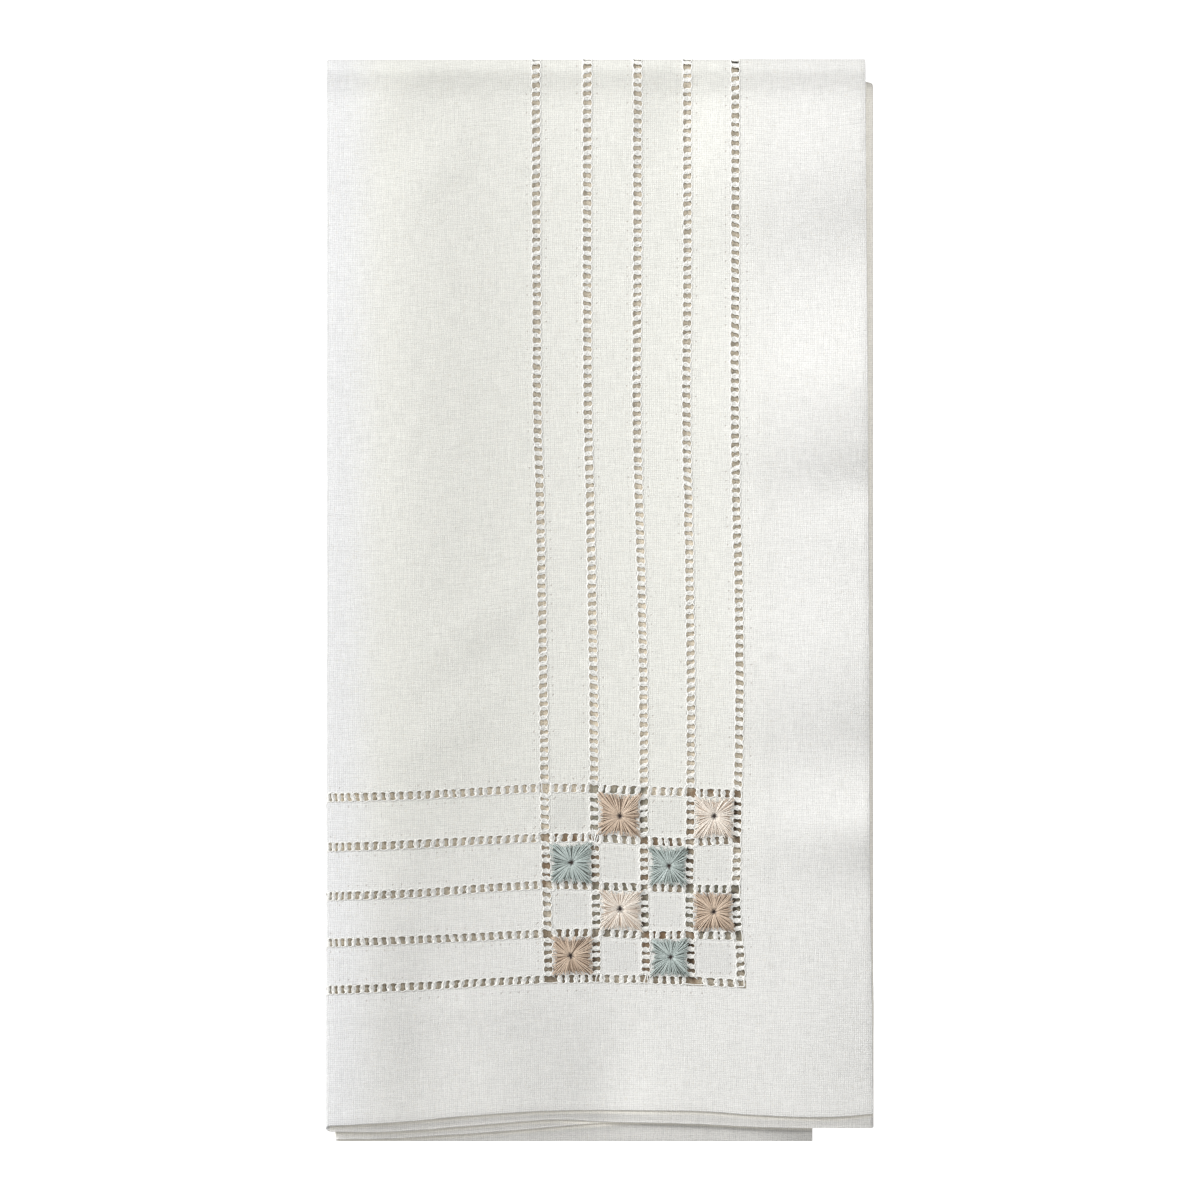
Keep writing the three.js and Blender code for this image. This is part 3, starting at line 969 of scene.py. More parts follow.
class StarPattern(Pattern):
    """Stars of floss, one at each point: strands from a sunk eyelet to a square's edge, on a low pad painted
    dark as the shade between them.
    """

    def __init__(self):
        super().__init__("floss_stars", (
            "Strands", "Steps", "Sides", "Seed", "Half Side", "Pinch", "Eyelet Radius", "Pad Height",
            "Strand Radius", "Raggedness"))
        centre = self.add("GeometryNodeInputPosition").outputs[0]
        self.points = self.keep(self.given.outputs["Geometry"], "centre", centre, "FLOAT_VECTOR")

    def rim(self, angle):
        """How far the square's edge is from its middle in a direction; the corners reach out."""
        square = self.size("Half Side") / angle.cos().abs().math("MAXIMUM", angle.sin().abs())
        corner = (square / self.size("Half Side") - 1.0) / (math.sqrt(2) - 1)
        return square * (1.0 + self.size("Pinch") * (corner - CORNER_LEVEL))

    def crest(self, out, share):
        """Height of the floss at a distance out from the eyelet; the edge goes down into the cloth."""
        up = (out / self.size("Eyelet Radius")).ramp(*EYELET_WALL)
        down = share.ramp(SLOPE_START, 1.0, 0.0, PAD_SLOPE)
        dive = share.ramp(EDGE_START, 1.0, 0.0, EDGE_DIVE)
        return self.size("Pad Height") * (up - down - dive) + (1.0 - up) * EYELET_FLOOR

    def sunk(self, out, ragged=0.0):
        """How much painted shade the floss takes, close to the middle of the sunk eyelet."""
        return 1.0 - (out / self.size("Eyelet Radius") + ragged).ramp(*EYELET_DARK)

    def at_star(self, geometry, out, angle, share, height):
        """Points put round a star's middle; near the eyelet they are drawn to where the eyelet lies."""
        inward = 1.0 - share
        right = out * angle.cos() + self.kept("middle_x") * inward
        above = out * angle.sin() + self.kept("middle_y") * inward
        return self.moved(geometry, vector(self.tree, right, above, height))

    def strands(self):
        """The floss itself, spread evenly along the square's four sides."""
        copies = self.add("GeometryNodeDuplicateElements",
                          {"Geometry": self.points, "Amount": self.size("Strands")}, domain="POINT")
        order = Number(self.tree, copies.outputs["Duplicate Index"])
        place = (order + self.random(-0.5, 0.5, 3) + 0.5) / self.size("Strands") * 4.0
        side = place.math("FLOOR") * (math.pi / 2)
        angle = side + (place.fraction() * 2.0 - 1.0).math("ARCTANGENT")
        strands = self.keep(copies.outputs[0], "angle", angle)
        strands = self.keep(strands, "tone", self.random(0.0, 1.0, 4))
        strands = self.keep(strands, "curl", self.random(-1.0, 1.0, 5))
        strands = self.keep(strands, "reach", self.random(-1.0, 1.0, 6))
        lines = self.copied(strands, self.strand(self.size("Steps")))

        share = (self.kept("way") + 1.0) / 2.0
        arch = (share * math.pi).sin()
        tone = self.kept("tone")
        angle = self.kept("angle")
        edge = self.rim(angle) + self.kept("reach") * self.size("Raggedness")
        out = mix(self.size("Eyelet Radius") * FLOSS_START, edge, share)
        sway = angle + self.kept("curl") * FLOSS_CURL * arch
        tumble = (tone - FLOSS_LEVEL) * FLOSS_TUMBLE * arch.math("MAXIMUM", 0.0)
        shaped = self.at_star(lines, out, sway, share, self.crest(out, share) + tumble)
        shaped = self.keep(shaped, "sunk", self.sunk(out, (tone - 0.5) * EYELET_SPREAD))
        thickness = share.ramp(0.0, 0.5, FLOSS_TAPER, 1.0)
        return self.tubes(shaped, self.size("Strand Radius"), self.size("Sides"), thickness)

    def pads(self):
        """The low dome under each star's floss, sunk at the eyelet, painted dark as the shade between its
        strands.
        """
        grid = self.add("GeometryNodeMeshGrid", {
            "Size X": 1.0, "Size Y": 1.0, "Vertices X": PAD_AROUND, "Vertices Y": PAD_OUTWARD})
        around, outward = parts_of(self.tree, self.add("GeometryNodeInputPosition").outputs[0])[:2]
        turned = self.keep(grid.outputs[0], "angle", (around + 0.5) * (2 * math.pi))
        turned = self.keep(turned, "way", outward + 0.5)
        pads = self.copied(self.points, turned)
        share = self.kept("way").power(PAD_CROWDING)
        angle = self.kept("angle")
        out = mix(self.size("Eyelet Radius") * PAD_START, self.rim(angle) * PAD_REACH, share)
        height = (self.crest(out, share) - PAD_SINK).math("MAXIMUM", PAD_FLOOR)
        domes = self.at_star(pads, out, angle, share, height)
        domes = self.keep(domes, "sunk", self.sunk(out))
        domes = self.keep(domes, "tone", PAD_SHADE_TONE)
        merged = self.add("GeometryNodeMergeByDistance", {"Geometry": domes, "Distance": SAME_PLACE})
        return merged.outputs[0]


def star_pattern():
    make = StarPattern()
    joined = make.add("GeometryNodeJoinGeometry")
    for part in (make.pads(), make.strands()):
        make.tree.links.new(part, joined.inputs[0])
    return make.end(joined.outputs[0])


def host_mesh(name, points, edges=(), **attributes):
    """Points and paths on the flat cloth for a pattern to work on."""
    mesh = bpy.data.meshes.new(name)
    mesh.from_pydata([tuple(point) for point in points], list(edges), [])
    for key, values in attributes.items():
        values = np.asarray(values, np.float32)
        if values.ndim == 2:
            mesh.attributes.new(key, "FLOAT_VECTOR", "POINT").data.foreach_set("vector", values.ravel())
        else:
            mesh.attributes.new(key, "FLOAT", "POINT").data.foreach_set("value", values)
    return mesh


def grow(name, tree, host, material, sizes):
    """The plain mesh that a pattern makes on a host, folded with the cloth."""
    holder = bpy.data.objects.new(name + "_host", host)
    bpy.context.scene.collection.objects.link(holder)
    modifier = holder.modifiers.new("pattern", "NODES")
    modifier.node_group = tree
    values = {"Material": material, **sizes}
    for item in tree.interface.items_tree:
        if item.in_out == "INPUT" and item.name in values:
            modifier[item.identifier] = values[item.name]
    depsgraph = bpy.context.evaluated_depsgraph_get()
    evaluated = holder.evaluated_get(depsgraph)
    mesh = bpy.data.meshes.new_from_object(evaluated, preserve_all_data_layers=True, depsgraph=depsgraph)
    bpy.data.objects.remove(holder)
    flat = np.empty(len(mesh.vertices) * 3, np.float32)
    mesh.vertices.foreach_get("co", flat)
    flat = flat.reshape(-1, 3).astype(float)
    across = -flat[:, 0]
    up = flat[:, 1]
    folded = fold_cloth(across, up, flat[:, 2] + hem_lift(across, up))
    mesh.vertices.foreach_set("co", folded.astype(np.float32).ravel())
    for spare in ("centre", "bar", "lane", "way", "turn", "lean", "narrow", "bow", "angle", "curl", "reach",
                  "middle_x", "middle_y"):
        attribute = mesh.attributes.get(spare)
        if attribute is not None:
            mesh.attributes.remove(attribute)
    mesh.update()
    return finish_piece(name, mesh, material)


# Where the bars and stitches go

RNG = np.random.default_rng(41)
FINE_UP = 268 * MM
FINE_ACROSS = FRONT_WIDTH + TURN_LENGTH
FOLD_CROWDING = 7 * MM

# How far bars stray from their places, more in the lattice, and how they lean, by chance and in slow waves
BAR_SHAKE = 0.09 * MM
LATTICE_SHAKE = 2.2
LEAN_SHAKE = 0.16 * MM
LEAN_SWAY = 0.25 * MM
LEAN_WAVE = 19 * MM

# Stretches whose bars stand unevenly: upright or not, ladder and run, with the places of their bars
UNEVEN_RUNS = {
    (False, 0, 0): [1.3 * MM, 3.6 * MM, 5.95 * MM, 8.4 * MM],
    (False, 0, 3): [1.25 * MM, 3.1 * MM, 5.25 * MM, 7.25 * MM, 9.1 * MM],
    (False, 4, 0): [1.6 * MM, 3.7 * MM, 5.9 * MM, 8.1 * MM, 9.9 * MM],
}


def crowding(places):
    """How close together the bars of the level ladders stand, as they near the left fold."""
    near_fold = eased(np.asarray(places), FOLD_BARS, FOLD_BARS + FOLD_CROWDING)
    return mix(1.0, FOLD_PITCH / LEVEL_PITCH, near_fold)


def runs_along(upright):
    """Bars along a ladder, in runs: one for each side of a lattice square, and one from there on."""
    runs = [[ladder + step for step in CELL_BARS] for ladder in LADDERS[:-1]]
    place = LADDERS[-1] + CELL_BARS[0]
    last = (FLAT_LENGTH - BORDER_START if upright else LEVEL_END) - CELL_BARS[0] / 2
    longest = []
    while place < last:
        longest.append(place)
        place += UPRIGHT_PITCH if upright else LEVEL_PITCH * crowding(place)
    return runs + [longest]


def shaken_run(upright, ladder, run, places):
    """The bars of one run of a ladder, a little uneven."""
    if (upright, ladder, run) in UNEVEN_RUNS:
        places = [LADDERS[run] + step for step in UNEVEN_RUNS[upright, ladder, run]]
    count = len(places)
    shake = BAR_SHAKE * (LATTICE_SHAKE if run < LADDER_COUNT - 1 else 1)
    narrow = np.ones(count) if upright else crowding(places)
    places = np.array(places) + RNG.normal(0, shake, count) * narrow
    aside = LADDERS[ladder] + RNG.normal(0, BAR_SHAKE / 2, count)
    lean = RNG.normal(0, LEAN_SHAKE, count) + LEAN_SWAY * np.sin(places / LEAN_WAVE + 2 * ladder)
    across, up = (aside, places) if upright else (places, aside)
    return {
        "upright": upright,
        "ladder": ladder,
        "run": run,
        "centres": np.stack([-across, up, np.zeros(count)], axis=-1),
        "lean": lean * narrow,
        "narrow": narrow,
        "fine": places < (FINE_UP if upright else FINE_ACROSS),
    }


class Ladders:
    """All bars, each with its centre on the flat cloth, its direction and its lean."""

    def __init__(self):
        self.runs = []
        for upright in (True, False):
            for ladder in range(LADDER_COUNT):
                for run, places in enumerate(runs_along(upright)):
                    self.runs.append(shaken_run(upright, ladder, run, places))

    def host(self, name, upright, fine):
        """The points of one kind of bar, for the bar pattern."""
        chosen = [run for run in self.runs if upright is None or run["upright"] == upright]
        centres = np.concatenate([run["centres"][run["fine"] == fine] for run in chosen])
        lean = np.concatenate([run["lean"][run["fine"] == fine] for run in chosen])
        turn = np.concatenate([
            np.full((run["fine"] == fine).sum(), 0.0 if run["upright"] else math.pi / 2) for run in chosen])
        narrow = np.concatenate([run["narrow"][run["fine"] == fine] for run in chosen])
        return host_mesh(name, centres, turn=turn, lean=lean, narrow=narrow)


class Paths:
    """Paths for threads: points, the edges between them, and how far each stretch bows out."""

    def __init__(self):
        self.points = []
        self.edges = []
        self.bows = []

    def add(self, points, bow):
        first = len(self.points)
        self.points += [tuple(point) for point in points]
        self.bows += [tuple(bow)] * len(points)
        self.edges += [(first + k, first + k + 1) for k in range(len(points) - 1)]

    def host(self, name):
        return host_mesh(name, self.points, self.edges, bow=np.array(self.bows))


def directions(upright):
    """The direction along a ladder's bars and the direction along the ladder, on the flat cloth."""
    if upright:
        return np.array([1.0, 0.0, 0.0]), np.array([0.0, 1.0, 0.0])
    return np.array([0.0, 1.0, 0.0]), np.array([-1.0, 0.0, 0.0])


UP = np.array([0.0, 0.0, 1.0])

# Hemstitching: cords along the ladders' edges, ties round the bars, and short stitches into the hem
CORD_RADIUS = 0.17 * MM
CORD_HEIGHT = THICKNESS / 2 - 0.06 * MM
SCALLOP = 0.42 * MM
LATTICE_SCALLOP = 0.44 * MM
TIE_WIDTH = 0.4 * MM
TIE_ARCH = 0.24 * MM
STITCH_START = 1.75 * MM
STITCH_END = 2.35 * MM
HEM_STITCH_END = 3.0 * MM
HEM_STITCH_DEPTH = 0.08 * MM
HEM_STITCH_ARCH = 0.02 * MM
HEM_STITCH_SLANT = (0.35 * MM, 0.15 * MM)
LEAN_AT_TIE = 0.6
CROSSING_BOW = 0.22 * MM

# Crossings with loose strands over them, by upright and level ladder counted from the hems, and how they lie
CROSSING_STRANDS = {(4, 4): 1, (3, 3): 4, (2, 0): 2, (3, 0): 1}
LOOSE_REACH = 1.7 * MM
LOOSE_HALF_TURNS = (0.38, 0.62)
LOOSE_SHAKE = 0.5 * MM
LOOSE_ARCH = 0.1 * MM


def tie_points(run, side):
    """Where the bars of a run are tied to the edge cord on one side of the ladder."""
    bar, along = directions(run["upright"])
    lean = run["lean"][:, None] * LEAN_AT_TIE
    return run["centres"] + side * (bar * TIE_REACH + along * lean) + UP * CORD_HEIGHT


def hemstitch_paths(ladders):
    """Edge cords, ties and short stitches of the bars that show, and plain edge cords of the others."""
    cords, ties, plain = Paths(), Paths(), Paths()
    for run in ladders.runs:
        bar, along = directions(run["upright"])
        scallop = LATTICE_SCALLOP if run["run"] < LADDER_COUNT - 1 else SCALLOP
        for side in (-1, 1):
            points = tie_points(run, side)
            fine = points[run["fine"]]
            coarse = points[~run["fine"]]
            if len(fine) > 1:
                cords.add(fine, side * bar * scallop)
            if len(coarse) > 1:
                plain.add(coarse, side * bar * scallop)
            outer_hem = run["ladder"] == 0 and side == (1 if run["upright"] else -1)
            for k in np.nonzero(run["fine"])[0]:
                tie = points[k] - UP * CORD_HEIGHT
                across_bar = along * TIE_WIDTH * run["narrow"][k]
                ties.add([tie - across_bar, tie + across_bar], UP * TIE_ARCH)
            if not outer_hem:
                continue
            for k in range(len(fine) - 1):
                gap = (fine[k] + fine[k + 1]) / 2 - UP * HEM_STITCH_DEPTH
                slant = along * RNG.normal(*HEM_STITCH_SLANT)
                start = gap + side * bar * (STITCH_START - TIE_REACH) - slant
                end = gap + side * bar * (HEM_STITCH_END - TIE_REACH)
                ties.add([start, end], UP * HEM_STITCH_ARCH)
    return cords, ties, plain


def crossing_paths(ladders):
    """Cords round the openings where two ladders cross, and loose strands over some of them."""
    frames, loose = Paths(), Paths()
    ends = {}
    for run in ladders.runs:
        for side in (-1, 1):
            points = tie_points(run, side)
            ends[run["upright"], run["ladder"], run["run"], side] = (points[0], points[-1])
    for right in range(LADDER_COUNT):
        for low in range(LADDER_COUNT):
            above = {s: ends[True, right, low, s][0] for s in (-1, 1)}
            left = {s: ends[False, low, right, s][0] for s in (-1, 1)}
            below = {s: ends[True, right, low - 1, s][1] for s in (-1, 1)} if low > 0 else None
            beside = {s: ends[False, low, right - 1, s][1] for s in (-1, 1)} if right > 0 else None
            links = [(above[-1], left[1], (-1, 1))]
            links.append((above[1], beside[1], (1, 1)) if beside else None)
            links.append((below[-1], left[-1], (-1, -1)) if below else None)
            links.append((below[1], beside[-1], (1, -1)) if below and beside else None)
            if not beside and below:
                links.append((above[1], below[1], (1, 0)))
            if not below and beside:
                links.append((left[-1], beside[-1], (0, -1)))
            for link in filter(None, links):
                start, end, (out_x, out_y) = link
                bow = np.array([out_x, out_y, 0.0]) * CROSSING_BOW
                frames.add([start, end], bow)
            if not below and not beside:
                corner = np.array([above[1][0], left[-1][1], above[1][2]])
                frames.add([above[1], corner, left[-1]], np.zeros(3))
            middle = np.array([-LADDERS[right], LADDERS[low], 0.0])
            for _ in range(CROSSING_STRANDS.get((right, low), 0)):
                angle = RNG.uniform(*LOOSE_HALF_TURNS) * math.pi
                aside = RNG.normal(0, LOOSE_SHAKE, 2)
                ray = np.array([math.cos(angle), math.sin(angle), 0.0]) * LOOSE_REACH
                shift = np.array([aside[0], aside[1], 0.0])
                loose.add([middle - ray + shift, middle + ray + shift], UP * LOOSE_ARCH)
    return frames, loose


# Materials

def new_material(name, colour, finish):
    """A material whose shader has the colour and the finish, which is given by the shader's socket names."""
    material = bpy.data.materials.new(name)
    material.use_nodes = True
    shader = material.node_tree.nodes["Principled BSDF"]
    shader.inputs["Base Color"].default_value = (*colour, 1.0)
    for socket, value in finish.items():
        shader.inputs[socket].default_value = value
    return material, material.node_tree, shader


def noise(tree, x, y, scale, detail=2.0):
    place = vector(tree, x, y, 0.0)
    node = add_node(tree, "ShaderNodeTexNoise", {"Vector": place, "Scale": scale, "Detail": detail},
                    noise_dimensions="2D")
    return Number(tree, node.outputs[0])


def with_alpha(colour):
    return colour if isinstance(colour, bpy.types.NodeSocket) else (*colour, 1.0)


def blend_colour(tree, share, first, second):
    """The first colour where share is 0, and the second where it is 1."""
    node = add_node(tree, "ShaderNodeMix", data_type="RGBA")
    for place, value in ((0, share), (6, with_alpha(first)), (7, with_alpha(second))):
        plug(tree, node.inputs[place], value)
    return node.outputs[2]


def attribute(tree, name):
    return Number(tree, add_node(tree, "ShaderNodeAttribute", attribute_name=name).outputs["Fac"])


LINEN_FINISH = {"Roughness": 0.82, "Sheen Weight": 0.12, "Sheen Roughness": 0.5, "Specular IOR Level": 0.25}
THREAD_FINISH = {"Roughness": 0.62, "Sheen Weight": 0.15, "Specular IOR Level": 0.35}
FLOSS_FINISH = {"Roughness": 0.48, "Sheen Weight": 0.2, "Specular IOR Level": 0.4}

# Linen of the front panel, then of the layers under it, of what shows through holes, and its small marks;
# those that carry painted light or painted shade say so
LINEN = (0.83, 0.828, 0.775)
LOW_LINEN = (0.83, 0.826, 0.797)
# Painted cool light: the linen near the left fold is bluer, as if lit by a cool light from the left
COOL_LIT_FOLD_LINEN = (0.827, 0.83, 0.83)
RIGHT_LINEN = (0.83, 0.826, 0.80)
# Painted light: the inner layers are lighter than the front panel, to make up for the shade their strips lie
# in
BRIGHTENED_INNER_LINEN = (0.93, 0.90, 0.82)
# Painted shade: the open bottom strips are darker and greyer, as they lie in shade
SHADED_STRIP_LINEN = (0.745, 0.735, 0.705)
# Painted shade: the ivory second layer as it shows, in shade, through the ladders
SHADED_GROUND = (0.80, 0.71, 0.565)
# Painted shade round the stars, partly the floss carried behind the squares
STAR_SHADE_BROWN = (0.27, 0.175, 0.10)
STAR_SHADE_GREEN = (0.23, 0.23, 0.18)
# Painted shadow in the gap close to a star
STAR_SHADOW_GAP = (0.05, 0.03, 0.015)
SLUB = (0.72, 0.68, 0.58)
# Painted shade in the needle holes
HOLE_SHADE = (0.34, 0.26, 0.21)
THREAD = (0.85, 0.845, 0.81)

# Shares of the light that parts of the packet lose or gain
LATTICE_SHADE = 0.07
SQUARE_EDGE = (3.6, 4.3)
FOLD_SHADE = 0.17
TOP_SHADE = 0.11
RIGHT_TOP_SHADE = 0.05
STRIP_SHADE = 0.07
CONTACT_SHADE = 0.1
CONTACT_LIGHT = 0.05
HEM_EDGE_LIGHT = 0.14

# Where those colours and shades begin and end on the folded packet
LOW_RANGE = (-95 * MM, -35 * MM)
FOLD_RANGE = (LEFT_FOLD + 2 * MM, LEFT_FOLD + 16 * MM)
FOLD_TURN = (LEFT_FOLD + 0.4 * MM, LEFT_FOLD + 1.1 * MM)
RIGHT_RANGE = (20 * MM, 52 * MM)
TOP_NOSE = (TOP_EDGE - 11 * MM, TOP_EDGE - 3.5 * MM)
TOP_RIGHT = (0.0, 50 * MM)
STRIPS_TOP = (-127 * MM, -125 * MM)
STRIPS_RIGHT = (-28 * MM, -5 * MM)
CONTACT_RIGHT = (0.0, 20 * MM)

# And in millimetres on the flat cloth, or below the hem of the layer above
INNER_START = (FRONT_WIDTH / MM + 1.0, FRONT_WIDTH / MM + 3.0)
LAST_PANEL = (FRONT_WIDTH + PANELS[1][1] + PANELS[2][1] + 3 * TURN_LENGTH) / MM
HEM_EDGE = (0.35, 0.95)
STRIP_START = (0.4, 1.3)
CONTACT_LIT = (0.4, 0.7)
CONTACT_START = (0.5, 0.9)
CONTACT_END = (0.9, 3.6)

# The weave: the threads' spacing in millimetres, how they wander, and how they show in light and relief
THREAD_SPACING = 0.47
WOBBLE = 1.6
WOBBLE_SCALES = (0.11, 0.13)
YARN_ACROSS = 0.9
YARN_ALONG = 0.22
GRAIN_SCALE = 1.2
YARN_TONE = 0.65
GRAIN_TONE = 0.8
CROSSING_EASE = 0.15
THREAD_ROUND = 0.55
THREAD_DIP = 0.9
CLOUD_SCALE = 0.03
LINEN_LIGHT = 1.05
TONE_LIGHT = 0.22
CLOUD_LIGHT = 0.05
LINE_SHADE = 0.22
WEAVE_RELIEF = 0.75
TONE_RELIEF = 0.8
HOLE_RELIEF = 1.5
HOLE_DARK = 0.36
WEAVE_DEPTH = 0.07 * MM
WEAVE_STRENGTH = 0.8
SLUB_LONG = 3.2
SLUB_SHORT = 0.5
SLUB_RARE = (0.80, 0.86)
SLUB_SHARE = 0.35

# What shows through the ladders, painted as the second layer in shade, in millimetres on the flat cloth:
# where x is 0 on the second layer, how far the ladders reach from there, and how light the painted ground is
# up the cloth: start, end and change
UNDER_MIDDLE = (FRONT_WIDTH + TURN_LENGTH - LEFT_CENTRE) / MM
UNDER_UPRIGHTS = (UNDER_MIDDLE - 21.0, UNDER_MIDDLE + 39.0)
UNDER_LEVELS = (UNDER_MIDDLE - 69.0, UNDER_MIDDLE + 39.0)
UPRIGHTS_UP = (BORDER_START / MM - 2.0, FINE_UP / MM)
LEVELS_UP = (BORDER_START / MM - 2.0, LATTICE_END / MM + 7.0)
UNDER_EDGE = 3.0
GROUND_LIGHT = 0.84
GROUND_STEPS = [(45.0, 80.0, 0.22), (140.0, 180.0, -0.2), (257.0, 263.0, 0.35)]
GROUND_LEFT = (UNDER_MIDDLE - 66.0, UNDER_MIDDLE - 54.0)
LEFT_LIGHT = 0.3
# Painted shadow of the bars: darker cores in the holes
CORE_SCALE = 0.8
CORE_EDGE = (0.45, 0.7)
CORE_SHADE = 0.24
PATCH_SCALE = 0.35
PATCH_EDGE = (0.3, 0.6)
PATCH_DEPTHS = (0.6, 1.15)

# The needle holes beside the ladders, in millimetres
HOLE_SIZE = (0.1, 0.3)
HOLE_SPREAD = (0.83, 0.21)
HOLE_CHANCE = (0.3, 0.68)
HOLE_DEPTHS = (0.1, 1.0)
HOLES_START = (29.0, 29.5)
HOLES_END = (LATTICE_END / MM + 1.6, LATTICE_END / MM + 1.2)
HOLES_ASIDE = (BORDER_START / MM, BORDER_START / MM + 0.5)


def inside(place, start, end, edge):
    """One between start and end, with soft edges."""
    return place.ramp(start, start + edge) * place.ramp(end - edge, end, 1.0, 0.0)


def square_middles(place):
    """One in the middle of each row or column of lattice squares."""
    aside = ((place - LADDER_FIRST / MM) / (LADDER_SPACING / MM)).fraction() - 0.5
    middle = (aside.abs() * (LADDER_SPACING / MM)).ramp(*SQUARE_EDGE, 1.0, 0.0)
    return middle * inside(place, LADDER_FIRST / MM, LADDERS[-1] / MM, 1.0)


def needle_holes(tree, across, up, upright_count, level_count):
    """Small holes beside the ladders, painted dark as the shade in them, one at each gap between bars, some
    deeper and darker than others.
    """
    holes = []
    for place, other, count, pitch in (
        (across, up, upright_count, UPRIGHT_PITCH / MM),
        (up, across, level_count, LEVEL_PITCH / MM),
    ):
        shifted = (place - (LADDER_FIRST - LADDER_SPACING / 2) / MM) / (LADDER_SPACING / MM)
        aside = (shifted.fraction() - 0.5) * (LADDER_SPACING / MM)
        hem_side = place.ramp(LADDER_FIRST / MM - 0.1, LADDER_FIRST / MM, 1.0, 0.0)
        from_row = aside.abs() - (STITCH_END / MM + (HEM_STITCH_END - STITCH_END) / MM * hem_side)
        gap = ((count + 0.5).fraction() - 0.5) * pitch
        distance = (from_row * from_row + gap * gap).math("SQRT")
        spread = noise(tree, count * HOLE_SPREAD[0], place * HOLE_SPREAD[1], 1.0, 0.0)
        hole = distance.ramp(*HOLE_SIZE, 1.0, 0.0) * spread.ramp(*HOLE_CHANCE, *HOLE_DEPTHS)
        hole = hole * place.ramp(*HOLES_START) * place.ramp(*HOLES_END) * other.ramp(*HOLES_ASIDE)
        holes.append(hole)
    return holes[0].math("MAXIMUM", holes[1])


def weave_of(tree, across, up):
    """The linen's threads at places on the flat cloth: how high they stand, and how light each one is."""
    warp = across / THREAD_SPACING + (noise(tree, across, up, WOBBLE_SCALES[0]) - 0.5) * WOBBLE
    weft = up / THREAD_SPACING + (noise(tree, up, across, WOBBLE_SCALES[1]) - 0.5) * WOBBLE
    warp_tone = noise(tree, warp * YARN_ACROSS, up * YARN_ALONG, 1.0, 1.0) - 0.5
    weft_tone = noise(tree, across * YARN_ALONG, weft * YARN_ACROSS, 1.0, 1.0) - 0.5
    grain = noise(tree, warp * GRAIN_SCALE, weft * GRAIN_SCALE, 1.0, 0.0) - 0.5
    tone = (warp_tone + weft_tone) * YARN_TONE + grain * GRAIN_TONE
    warp_wave = (warp * math.pi).sin()
    weft_wave = (weft * math.pi).sin()
    over = (warp_wave * weft_wave).ramp(-CROSSING_EASE, CROSSING_EASE)
    warp_bump = warp_wave.abs().power(THREAD_ROUND) * weft_wave.abs().power(THREAD_DIP)
    weft_bump = warp_wave.abs().power(THREAD_DIP) * weft_wave.abs().power(THREAD_ROUND)
    return weft_bump + (warp_bump - weft_bump) * over, tone


def strip_shades(colour, light, tree, inner, across, up, place_x, place_y):
    """Colour and light with the strips of the inner layers that show below the front panel's hem: painted in
    shade, with painted shade and painted light close under the hem above, and painted light along their own
    hem edges.
    """
    below = attribute(tree, "below_hem")
    strips = inner * place_y.ramp(*STRIPS_TOP, 1.0, 0.0)
    open_strips = strips * below.ramp(*STRIP_START)
    colour = blend_colour(tree, open_strips, colour, SHADED_STRIP_LINEN)
    light = light * (1.0 - open_strips * place_x.ramp(*STRIPS_RIGHT) * STRIP_SHADE)
    contact = below.ramp(*CONTACT_START) * below.ramp(*CONTACT_END, CONTACT_SHADE, 0.0)
    contact = contact * place_x.ramp(*CONTACT_RIGHT, 1.0, 0.0)
    light = light * (1.0 + strips * (below.ramp(*CONTACT_LIT, CONTACT_LIGHT, 0.0) - contact))
    hem_edge = strips * up.ramp(*HEM_EDGE, 1.0, 0.0) * across.ramp(LAST_PANEL - 1.0, LAST_PANEL, 1.0, 0.0)
    return colour, light * (1.0 + hem_edge * HEM_EDGE_LIGHT)


def ground_shades(colour, tree, across, up):
    """Colour with the painted shade of the second layer that shows through the ladders: tan, lighter or
    darker up the cloth and near the left fold, with painted darker cores, and darker close to the stars.
    """
    under_uprights = inside(across, *UNDER_UPRIGHTS, UNDER_EDGE) * inside(up, *UPRIGHTS_UP, UNDER_EDGE)
    under_levels = inside(up, *LEVELS_UP, UNDER_EDGE) * inside(across, *UNDER_LEVELS, UNDER_EDGE)
    under = under_uprights.math("MAXIMUM", under_levels)
    light = GROUND_LIGHT
    for start, end, change in GROUND_STEPS:
        light = light + up.ramp(start, end, 0.0, change)
    cores = noise(tree, across * CORE_SCALE, up * CORE_SCALE, 1.0, 1.0).ramp(*CORE_EDGE)
    light = light - cores * CORE_SHADE + across.ramp(*GROUND_LEFT, LEFT_LIGHT, 0.0)
    colour = blend_colour(tree, under, colour, scaled(tree, SHADED_GROUND, light))
    patches = noise(tree, across, up, PATCH_SCALE, 1.0).ramp(*PATCH_EDGE, *PATCH_DEPTHS)
    star_shade = blend_colour(tree, attribute(tree, "star_green"), STAR_SHADE_BROWN, STAR_SHADE_GREEN)
    colour = blend_colour(tree, attribute(tree, "star_shade") * patches, colour, star_shade)
    return blend_colour(tree, attribute(tree, "star_shadow_gap") * patches, colour, STAR_SHADOW_GAP)


